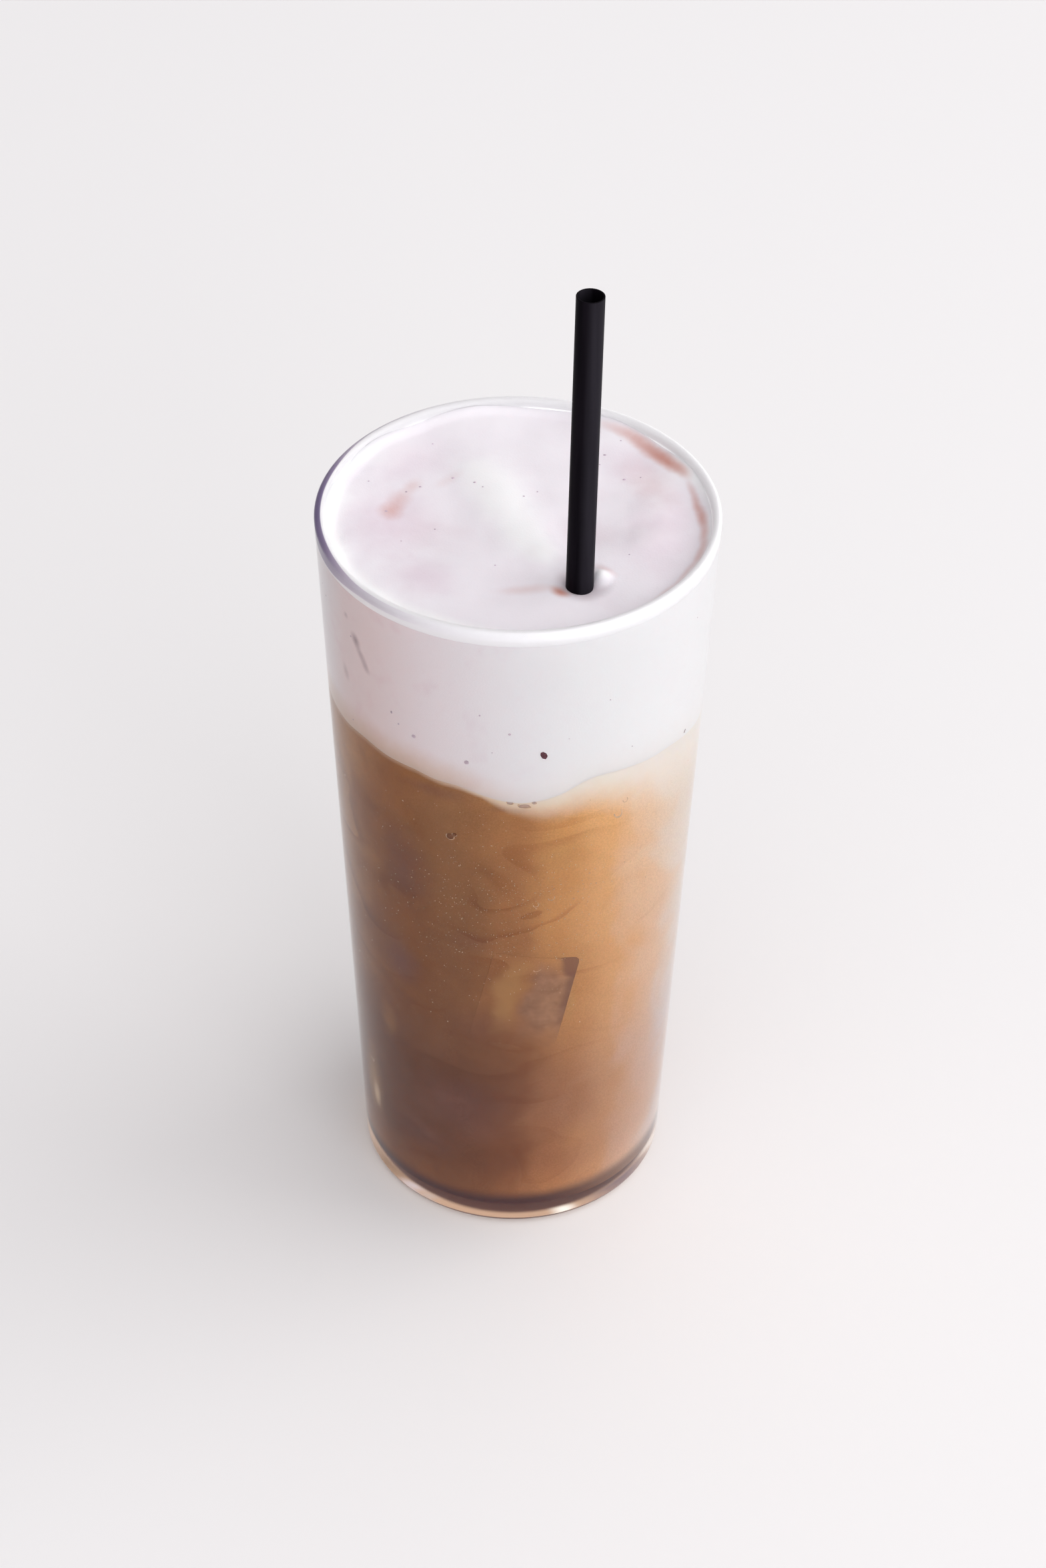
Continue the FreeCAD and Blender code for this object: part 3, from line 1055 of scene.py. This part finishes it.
def marbled_coffee(tree, place, milk):
    """Brown to cream by the share of milk and painted light, with painted shade towards the foot
    that is weaker on the right.
    """
    colour = ramp(tree, milk, (
        (0.06, OLIVE), (0.15, ROAST), (0.35, BROWN), (0.50, UMBER), (0.63, CARAMEL),
        (0.75, LATTE), (0.85, MILKY), (0.94, CREAM),
    ))
    # Painted shade: darker towards the foot, slightly lighter near the top, and weaker on the
    # right, where the window lights the coffee.
    depth = spread(tree, axes(tree, place)["Z"], 0.0, LINE_LEVEL, shape="LINEAR")
    shade = ramp(tree, depth, (
        (0.06, (0.86, 0.74, 0.80)), (0.16, (0.62, 0.50, 0.58)), (0.28, (0.60, 0.52, 0.68)),
        (0.55, (0.89, 0.84, 0.86)), (0.80, (1.0, 1.0, 1.0)), (0.94, (1.10, 1.12, 1.08)),
    ))
    return blend(tree, by_x(tree, place, 6.0, 26.0, 1.0, 0.55), colour, shade, "MULTIPLY")


def add_patches_and_painted_light(tree, place, colour):
    # Some patches are painted shade and a painted reflection.
    for bearing, height, (wide, tall), light, strength in COFFEE_PATCHES_AND_PAINTED_LIGHT:
        mask = spot_mask(tree, place, on_wall(bearing, height), (wide, wide, tall),
                         waviness=0.9, wave_scale=90.0)
        colour = blend(tree, product(tree, mask, strength), colour, light)
    return colour


SWIRL_HEIGHT = 84.0 * MM


def add_swirls(tree, place, colour):
    """Thin darker arcs, which show most in the middle and fade to the right."""
    flat = node(tree, "Mapping", {"Vector": place, "Scale": (1.0, 1.0, 2.0)})
    warp = noise(tree, flat.outputs["Vector"], 26.0, 1.5, 0.9)
    layers = maths(tree, "FRACT", product(tree, warp, 6.0))
    patchy = noise(tree, place, 42.0, 1.0)
    off_middle = maths(tree, "SUBTRACT", axes(tree, place)["Z"], SWIRL_HEIGHT)
    swirl = product(
        tree,
        spread(tree, layers, 0.0, 0.04),
        spread(tree, layers, 0.42, 0.05),
        spread(tree, patchy, 0.42, 0.60),
        by_x(tree, place, 20.0, 6.0, 0.2, 0.75),
        spread(tree, maths(tree, "ABSOLUTE", off_middle), 10.0 * MM, 32.0 * MM, 1.0, 0.4),
    )
    return blend(tree, swirl, colour, SWIRL_SHADE, "MULTIPLY")


def add_haze(tree, place, colour):
    """Small soft clouds, mostly on the left, and a very fine grain."""
    haze = ramp(tree, noise(tree, place, 150.0, 3.0, 0.6),
                ((0.34, (0.91, 0.90, 0.92)), (0.66, (1.06, 1.07, 1.08))), "LINEAR")
    colour = blend(tree, by_x(tree, place, 16.0, -8.0, 0.12, 0.75), colour, haze, "MULTIPLY")
    grain = ramp(tree, noise(tree, place, 3200.0, 2.0),
                 ((0.35, (0.92, 0.91, 0.90)), (0.65, (1.05, 1.05, 1.05))), "LINEAR")
    return blend(tree, 1.0, colour, grain, "MULTIPLY")


def add_fringe(tree, place, colour, milk):
    """Cream that bleeds from the foam, deeper on the right, and a pale line of contact."""
    below = product(tree, above_line(tree, place), -1.0)
    band = spread(tree, axes(tree, place)["X"], -6.0 * MM, 27.0 * MM, 1.3 * MM, 17.0 * MM, "LINEAR")
    nearness = maths(tree, "DIVIDE", below, band)
    ragged = noise(tree, place, 260.0, 3.0)
    offset = product(tree, maths(tree, "SUBTRACT", ragged, 0.5), 0.30)
    fringe = spread(tree, maths(tree, "ADD", nearness, offset), 1.0, 0.0)
    fringe_colour = ramp(tree, milk, (
        (0.15, FRINGE_TAN), (0.5, FRINGE_BUFF), (0.72, FRINGE_PALE), (0.9, FRINGE_CREAM),
    ))
    colour = blend(tree, fringe, colour, fringe_colour)
    contact = maths(tree, "MULTIPLY_ADD", ragged, 0.9 * MM, below)
    contact = product(tree, spread(tree, contact, 1.1 * MM, 0.4 * MM),
                      by_x(tree, place, -14.0, 4.0, 0.0, 0.8))
    return blend(tree, contact, colour, FRINGE_CREAM)


def add_foot(tree, place, colour):
    """Painted shade in a dark ring round the foot, weaker on the right, and the colour of the
    underside.
    """
    z = axes(tree, place)["Z"]
    top = by_x(tree, place, -20.0, 28.0, 6.8 * MM, 8.2 * MM)
    # Painted shade: the dark ring round the foot.
    ring = product(tree, spread(tree, maths(tree, "SUBTRACT", z, top), 2.2 * MM, -1.6 * MM),
                   by_x(tree, place, 4.0, 26.0, 0.96, 0.66))
    colour = blend(tree, ring, colour, DARK_PLUM)
    under = spread(tree, z, FLOOR + 0.35 * MM, FLOOR - 0.05 * MM)
    return blend(tree, under, colour, UNDERSIDE)


COFFEE_COLOUR = coffee_colour_group()


def coffee_colour(tree, place):
    return place_group(tree, COFFEE_COLOUR, {"Vector": place}).outputs["Color"]


# Materials


def new_material(name):
    """A material with its node tree, its shader and the place on the piece."""
    material = bpy.data.materials.new(name)
    material.use_nodes = True
    tree = material.node_tree
    place = node(tree, "TexCoord", {}).outputs["Object"]
    return material, tree, tree.nodes["Principled BSDF"], place


def surface_normal(tree):
    return node(tree, "TexCoord", {}).outputs["Normal"]


def glass_material():
    """Clear glass."""
    material, tree, shader, _ = new_material("clear_glass")
    fill(tree, shader, {
        "Base Color": (1.0, 1.0, 1.0, 1.0),
        "Roughness": 0.0,
        "IOR": 1.5,
        "Specular Tint": (0.20, 0.19, 0.19, 1.0),
        "Transmission Weight": 1.0,
    })
    return material


# Painted light, glints and shade on the underside, for the light that the window throws
# through the glass base: bearing, half width of the patch and its colour.
PAINTED_UNDERSIDE_LIGHT = (
    (68.0, 12.0, (0.130, 0.100, 0.125)),
    (-78.0, 9.0, (0.190, 0.115, 0.060)),
    (28.5, 3.0, (1.000, 0.980, 0.900)),
    (-58.0, 3.2, (0.560, 0.490, 0.500)),
    (-46.0, 2.2, (0.480, 0.390, 0.340)),
    (100.0, 5.0, (0.800, 0.740, 0.680)),
    (150.0, 4.0, (0.700, 0.600, 0.520)),
    (-150.0, 5.0, (0.500, 0.360, 0.280)),
)


def painted_underside_glow(tree, place):
    """Painted glow for the light the glass base pipes in: dark in the middle, bright at the edge.
    """
    reach = spread(tree, off_axis(tree, place), 12.0 * MM, 24.0 * MM, shape="LINEAR")
    glow = ramp(tree, reach, (
        (0.22, GLOW_SHADE), (0.42, BASE_GLOW), (0.66, BASE_GLOW), (0.80, GLOW_EDGE),
    ))
    outer = spread(tree, reach, 0.22, 0.42)
    for bearing, wide, light in PAINTED_UNDERSIDE_LIGHT:
        centre = polar(bearing, 18.0 * MM, FLOOR)
        mask = spot_mask(tree, place, centre, (wide, 8.0, 5.0), bearing)
        glow = blend(tree, product(tree, mask, outer), glow, light)
    under = spread(tree, axes(tree, place)["Z"], FLOOR + 0.05 * MM, FLOOR - 0.05 * MM)
    return blend(tree, under, BLACK, glow)


def coffee_material():
    """Milky coffee, whose underside has a painted glow for the light that the glass base pipes in.
    """
    material, tree, shader, place = new_material("milky_coffee")
    fill(tree, shader, {
        "Base Color": coffee_colour(tree, place),
        # Painted glow on the underside, in emission.
        "Emission Color": painted_underside_glow(tree, place),
        "Emission Strength": 1.0,
        "Roughness": 0.6,
        "Specular IOR Level": 0.0,
        "Subsurface Weight": 0.3,
        "Subsurface Radius": (1.0, 0.5, 0.3),
        "Subsurface Scale": 4.0 * MM,
    })
    return material


# Where the crown takes a painted pink shade: bearing, distance from the axis and half sizes.
CROWN_SHADE_SPOTS = (
    (-88.0, 24.0, (15.0, 12.0)),
    (-45.0, 24.0, (10.0, 8.0)),
    (84.0, 26.0, (20.0, 10.0)),
    (-135.0, 28.0, (12.0, 9.0)),
    (131.0, 28.0, (10.0, 8.0)),
)

# Stains of coffee on the crown: bearing, distance from the axis, half sizes and strength.
CROWN_STAINS = (
    (147.0, 33.6, (7.0, 1.8), 0.30),
    (139.0, 33.5, (7.0, 2.3), 0.50),
    (131.0, 33.1, (7.0, 2.7), 0.70),
    (124.0, 33.2, (6.0, 2.5), 0.85),
    (117.0, 33.8, (4.5, 1.8), 0.50),
    (106.0, 33.2, (4.5, 1.1), 0.35),
    (99.0, 33.0, (4.5, 1.4), 0.60),
    (92.0, 33.4, (5.0, 1.5), 0.65),
    (84.0, 33.8, (5.5, 1.3), 0.50),
    (74.0, 34.1, (6.0, 1.2), 0.42),
    (63.0, 33.8, (6.5, 1.1), 0.32),
    (52.0, 33.7, (6.0, 1.0), 0.22),
    (116.0, 27.0, (12.0, 6.0), 0.16),
    (-98.0, 23.3, (3.8, 3.2), 0.52),
    (-107.0, 22.8, (4.2, 3.0), 0.34),
    (-118.0, 22.2, (4.0, 2.2), 0.24),
    (-135.0, 18.0, (5.0, 2.0), 0.12),
    (20.0, 22.2, (2.4, 2.8), 0.90),
    (5.0, 20.6, (7.5, 2.2), 0.24),
    (47.0, 21.4, (1.4, 3.5), 0.25),
)

# Soft smears of coffee in the side of the foam: bearing, height, half sizes, lean and
# strength.
SIDE_SMEARS = (
    (-53.5, 141.2, (1.7, 2.3), -30.0, 0.72),
    (-51.5, 138.6, (1.3, 3.4), -34.0, 0.42),
    (-49.6, 136.4, (1.2, 2.0), -34.0, 0.34),
    (-60.5, 131.0, (1.3, 2.6), -14.0, 0.30),
    (-58.0, 145.2, (1.0, 1.0), 0.0, 0.32),
    (140.0, 139.0, (1.4, 2.6), 30.0, 0.50),
)


def foam_material():
    """Milk foam: its side and its crown, with painted light and shade on both, stains of coffee and
    fine bubbles.
    """
    material, tree, shader, place = new_material("milk_foam")
    wisps = noise(tree, place, 60.0, 2.0, 1.2)
    level_face = spread(tree, axes(tree, surface_normal(tree))["Z"], 0.1, 0.4)
    colour = blend(tree, level_face, foam_side(tree, place), foam_crown(tree, place, wisps))
    colour = add_mottle(tree, place, colour, level_face)
    for add_layer in (add_beige_edge, add_smears, add_stains):
        colour = add_layer(tree, place, colour)
    fill(tree, shader, {
        "Base Color": colour,
        "Normal": bubbly_normal(tree, place),
        "Roughness": 0.5,
        "Specular IOR Level": 0.2,
        "Subsurface Weight": 0.35,
        "Subsurface Radius": (1.0, 0.85, 0.85),
        "Subsurface Scale": 2.0 * MM,
    })
    return material


def foam_side(tree, place):
    """Side of the foam: a painted rosy shade on the left and white on the right, where the window
    lights it.
    """
    across = spread(tree, axes(tree, place)["X"], -36.0 * MM, 36.0 * MM, shape="LINEAR")
    # Painted shade: rosy on the left, away from the window.
    return ramp(tree, across, (
        (0.01, FOAM_LILAC), (0.08, FOAM_SHADE_PINK), (0.14, FOAM_SHADE_PINK), (0.27, FOAM_SHADE_ROSE),
        (0.50, FOAM_LILAC), (0.66, FOAM_WHITE),
    ), "LINEAR")


def foam_crown(tree, place, wisps):
    """Crown of the foam with painted light and shade: mauve shade in the hollows, white hills, a
    painted highlight along the front-left edge, lilac shade at the back and pink shade in spots.
    """
    _, y, z = axes(tree, place)
    lift = maths(tree, "MULTIPLY_ADD", wisps, 1.0 * MM, z)
    lift = spread(tree, lift, FOAM_LEVEL - 0.6 * MM, FOAM_LEVEL + 1.5 * MM, shape="LINEAR")
    # Painted light and shade by height: mauve in the hollows, white on the hills.
    crown = ramp(tree, lift, ((0.0, CROWN_MAUVE), (0.5, CROWN_LILAC), (1.0, CROWN_WHITE)))
    # Painted pink shade in spots.
    for bearing, distance, half in CROWN_SHADE_SPOTS:
        centre = polar(bearing, distance * MM, FOAM_LEVEL)
        tint = spot_mask(tree, place, centre, (*half, 8.0), bearing, waviness=0.5)
        crown = blend(tree, tint, crown, CROWN_SHADE_PINK, "MULTIPLY")
    # Painted highlight where the meniscus on the front left faces the window.
    reach = maths(tree, "MULTIPLY_ADD", wisps, 3.0 * MM, off_axis(tree, place))
    crescent_highlight = product(
        tree,
        spread(tree, reach, 32.4 * MM, 35.8 * MM),
        by_x(tree, place, 4.0, -10.0),
        spread(tree, y, 12.0 * MM, -8.0 * MM, 0.0, 0.9),
    )
    crown = blend(tree, crescent_highlight, crown, FOAM_WHITE)
    # Painted lilac shade at the back.
    far = spread(tree, y, 12.0 * MM, 30.0 * MM, 0.0, 0.8)
    return blend(tree, far, crown, CROWN_LILAC)


def add_mottle(tree, place, colour, level_face):
    """A faint mottle on the side only, strongest on the left."""
    mottle = product(
        tree,
        spread(tree, noise(tree, place, 170.0, 2.5), 0.52, 0.72),
        by_x(tree, place, 16.0, -16.0, 0.3, 1.0),
        maths(tree, "SUBTRACT", 1.0, level_face),
    )
    return blend(tree, mottle, colour, FOAM_MOTTLE, "MULTIPLY")


def add_beige_edge(tree, place, colour):
    """The foam's lower edge, tinted by the coffee, mostly on the left."""
    ragged = noise(tree, place, 420.0, 3.0)
    ragged = maths(tree, "MULTIPLY_ADD", ragged, 1.6 * MM, -0.8 * MM)
    above = maths(tree, "ADD", above_line(tree, place), ragged)
    edge = product(tree, spread(tree, above, 7.0 * MM, -0.5 * MM),
                   by_x(tree, place, 6.0, -20.0, 0.1, 0.9))
    return blend(tree, edge, colour, FOAM_BEIGE)


def add_smears(tree, place, colour):
    for bearing, height, (wide, tall), lean, strength in SIDE_SMEARS:
        mask = spot_mask(tree, place, on_wall(bearing, height), (wide, 3.0, tall), bearing,
                         lean, 0.5)
        colour = blend(tree, product(tree, mask, strength), colour, SMEAR_GREY)
    return colour


def add_stains(tree, place, colour):
    for bearing, distance, half, strength in CROWN_STAINS:
        centre = polar(bearing, distance * MM, FOAM_LEVEL)
        mask = spot_mask(tree, place, centre, (*half, 5.0), bearing, waviness=0.45)
        colour = blend(tree, product(tree, mask, strength), colour, CREMA)
    return colour


def bubbly_normal(tree, place):
    """Bump of fine bubbles on soft lumps."""
    cells = node(tree, "TexVoronoi", {"Vector": place, "Scale": 2200.0, "Randomness": 1.0})
    height = spread(tree, cells.outputs["Distance"], 0.6, 0.0)
    height = maths(tree, "MULTIPLY_ADD", noise(tree, place, 160.0, 4.0), 3.0, height)
    bump = node(tree, "Bump",
                {"Height": height, "Strength": 0.25, "Distance": 0.05 * MM})
    return bump.outputs["Normal"]


def painted_rim_light_material():
    """Painted light and shade in the rim: white with a painted glow, and a painted dusky violet
    shade on the outer side on the left.
    """
    material, tree, shader, place = new_material("painted_rim_light")
    wisps = noise(tree, place, 90.0, 2.0)
    across = maths(tree, "MULTIPLY_ADD", wisps, 2.0 * MM, axes(tree, place)["X"])
    across = spread(tree, across, -36.0 * MM, 38.0 * MM, shape="LINEAR")
    # Painted shade: dusky violet on the outer side at the left.
    dusk = ramp(tree, across, (
        (0.01, RIM_DUSK), (0.04, RIM_VIOLET), (0.09, (0.68, 0.61, 0.73)),
        (0.16, (0.86, 0.82, 0.88)), (0.27, (0.95, 0.93, 0.955)), (0.40, FOAM_WHITE),
    ), "LINEAR")
    side = by_x(tree, place, -35.0, -27.0, 35.75 * MM, 36.25 * MM)
    outer = maths(tree, "SUBTRACT", off_axis(tree, place), side)
    outer = spread(tree, outer, 0.0, 0.2 * MM)
    # Painted glow: faint on the inner side, and on the outer side growing from none on the left to
    # brightest on the right.
    light = ramp(tree, across, (
        (0.16, BLACK), (0.30, (0.10, 0.095, 0.11)), (0.75, (0.26, 0.26, 0.27)),
    ), "LINEAR")
    fill(tree, shader, {
        "Base Color": blend(tree, outer, FOAM_WHITE, dusk),
        "Emission Color": blend(tree, outer, RIM_LIGHT, light),
        "Emission Strength": 1.0,
        "Roughness": 0.5,
        "Specular IOR Level": 0.1,
    })
    return material


def straw_material():
    """Satin black, very slightly streaked along its length, with a painted sheen on the side that
    faces front right.
    """
    material, tree, shader, place = new_material("black_straw")
    stretched = node(tree, "Mapping", {"Vector": place, "Scale": (900.0, 900.0, 40.0)})
    streaks = noise(tree, stretched.outputs["Vector"], 1.0, 3.0)
    colour = ramp(tree, streaks, ((0.3, STRAW_BLACK), (0.7, STRAW_WORN)))
    # Painted sheen on the side that faces front right.
    facing = vector_maths(tree, "DOT_PRODUCT", surface_normal(tree), (0.62, -0.78, 0.0))
    painted_sheen = product(tree, spread(tree, facing, 0.55, 1.0),
                   spread(tree, streaks, 0.2, 0.8, 0.7, 1.0))
    fill(tree, shader, {
        "Base Color": blend(tree, painted_sheen, colour, STRAW_SHEEN),
        "Roughness": spread(tree, streaks, 0.3, 0.7, 0.28, 0.36),
        "Specular IOR Level": 0.02,
    })
    return material


def ice_material():
    """Ice seen through the coffee, with painted light and shade on its faces: a golden lit face, a
    smoky one, and a dark crisp edge and corner in painted shade.
    """
    material, tree, shader, place = new_material("sunken_ice")
    local = node(tree, "Attribute", {}, attribute_name="ice_place").outputs["Vector"]
    shift = maths(tree, "MULTIPLY_ADD", noise(tree, place, 130.0, 2.0), 0.7, -0.35)
    x, _, z = axes(tree, local)
    across = maths(tree, "ADD", x, shift)
    upward = maths(tree, "ADD", z, shift)
    fade = product(tree, spread(tree, upward, 1.0, 0.45), spread(tree, upward, -1.0, -0.2))
    # Painted light on the golden face.
    golden = product(tree, spread(tree, across, -0.85, -0.5), spread(tree, across, 0.0, -0.4),
                     fade, 0.5)
    colour = blend(tree, golden, coffee_colour(tree, place), GOLDEN)
    smoky = product(tree, spread(tree, across, -0.25, 0.1), fade)
    colour = blend(tree, product(tree, smoky, 0.7), colour, SMOKY)
    cloudy = ramp(tree, noise(tree, place, 420.0, 3.0),
                  ((0.35, (0.80, 0.76, 0.76)), (0.68, (1.14, 1.14, 1.16))), "LINEAR")
    colour = blend(tree, product(tree, smoky, 0.9), colour, cloudy, "MULTIPLY")
    # Painted shade along the dark edge and in the corner.
    edge = product(tree, spread(tree, x, 0.74, 0.97), spread(tree, upward, -0.9, 0.1), 0.55)
    corner = maths(tree, "ADD", maths(tree, "ADD", x, z), shift)
    corner = product(tree, spread(tree, corner, 1.3, 1.6), 0.75)
    colour = blend(tree, maths(tree, "MAXIMUM", edge, corner), colour, ICE_SHADE)
    fill(tree, shader, {"Base Color": colour, "Roughness": 0.6, "Specular IOR Level": 0.0})
    return material


def plain_material(name, colour, roughness, specular=0.5):
    """A slightly mottled finish for tiny pieces."""
    material, tree, shader, place = new_material(name)
    dim = tuple(part * 0.75 for part in colour)
    fill(tree, shader, {
        "Base Color": ramp(tree, noise(tree, place, 900.0, 2.0), ((0.35, dim), (0.65, colour))),
        "Roughness": roughness,
        "Specular IOR Level": specular,
    })
    return material


def hollow_material():
    """The inside of a bubble takes the colour of the coffee behind it, but darker."""
    material, tree, shader, place = new_material("bubble_hollow")
    colour = blend(tree, 1.0, coffee_colour(tree, place), HOLLOW_SHADE, "MULTIPLY")
    fill(tree, shader, {"Base Color": colour, "Roughness": 0.35, "Specular IOR Level": 0.1})
    return material


# Stage, lights and camera

CAMERA_LENS = 85.0
CAMERA_DISTANCE = 719.0 * MM
CAMERA_PITCH = 40.7
CAMERA_AIM_UP = 0.779
CAMERA_AIM_SIDE = 0.118
CAMERA_ROLL = -0.58
GLASS_MIDDLE = Vector((0, 0, RIM_HEIGHT / 2))
FLOOR_PALE = (0.880, 0.876, 0.882)
WINDOW_SIDE = (0.72, -0.45, -0.53)
ROOM_DIM = (0.390, 0.365, 0.360)
ROOM_BRIGHT = (1.660, 1.655, 1.690)
ROOM_STRENGTH = 1.05
# The soft lights: name, bearing, elevation, distance and size in metres, watts and colour.
SOFT_LIGHTS = (
    ("window", 100.0, 28.0, 1.8, 1.6, 10.5, (1.0, 0.985, 0.97)),
    ("fill", 28.0, 16.0, 1.8, 1.1, 8.6, (1.0, 0.99, 1.0)),
)


def make_camera():
    """A camera that looks down at the glass from the front."""
    data = bpy.data.cameras.new("camera")
    data.lens = CAMERA_LENS
    data.clip_start = 0.05
    camera = add_object("camera", data)
    pitch = math.radians(CAMERA_PITCH)
    forward = Vector((0, math.cos(pitch), -math.sin(pitch)))
    turn = (
        Matrix.Rotation(math.radians(90) - pitch, 4, "X")
        @ turned(-CAMERA_AIM_SIDE, "Y")
        @ turned(CAMERA_AIM_UP, "X")
        @ turned(-CAMERA_ROLL, "Z")
    )
    camera.matrix_world = Matrix.Translation(GLASS_MIDDLE - forward * CAMERA_DISTANCE) @ turn
    bpy.context.scene.camera = camera


def make_floor():
    """A pale level floor just under the glass."""
    deselect()
    bpy.ops.mesh.primitive_plane_add(size=6.0, location=(0, 0, -0.05 * MM))
    floor = fresh("floor")
    material, tree, shader, _ = new_material("pale_floor")
    fill(tree, shader, {"Base Color": (*FLOOR_PALE, 1.0), "Roughness": 0.7})
    floor.data.materials.append(material)


def make_world():
    """A bright room: lighter on the right, where the window is, and dim on the left."""
    world = bpy.data.worlds.new("room")
    bpy.context.scene.world = world
    world.use_nodes = True
    tree = world.node_tree
    place = node(tree, "TexCoord", {}).outputs["Generated"]
    facing = vector_maths(tree, "DOT_PRODUCT", place, Vector(WINDOW_SIDE).normalized())
    light = spread(tree, facing, -1.0, 1.0, shape="LINEAR")
    colour = ramp(tree, light, ((0.0, ROOM_DIM), (1.0, ROOM_BRIGHT)), "LINEAR")
    fill(tree, tree.nodes["Background"], {"Color": colour, "Strength": ROOM_STRENGTH})


def make_soft_light(name, bearing, elevation, distance, size, energy, colour):
    """A square soft light turned towards the glass."""
    data = bpy.data.lights.new(name, "AREA")
    data.shape = "SQUARE"
    data.size = size
    data.energy = energy
    data.color = colour
    lamp = add_object(name, data)
    tilt = math.radians(elevation)
    height = GLASS_MIDDLE.z + distance * math.sin(tilt)
    lamp.location = polar(bearing, distance * math.cos(tilt), height)
    lamp.rotation_mode = "QUATERNION"
    lamp.rotation_quaternion = (lamp.location - GLASS_MIDDLE).to_track_quat("Z", "Y")


def make_lights():
    """A window on the right, slightly behind, and a low fill from the front right."""
    for light in SOFT_LIGHTS:
        make_soft_light(*light)


# Build

bpy.context.scene.view_settings.view_transform = "Standard"
make_camera()
make_floor()
make_world()
make_lights()
make_glass()
make_coffee()
foam_layer = make_foam()
make_painted_rim_light()
make_straw()
make_ice()
make_flecks()
make_specks()
make_crown_specks(foam_layer)
make_bubbles()
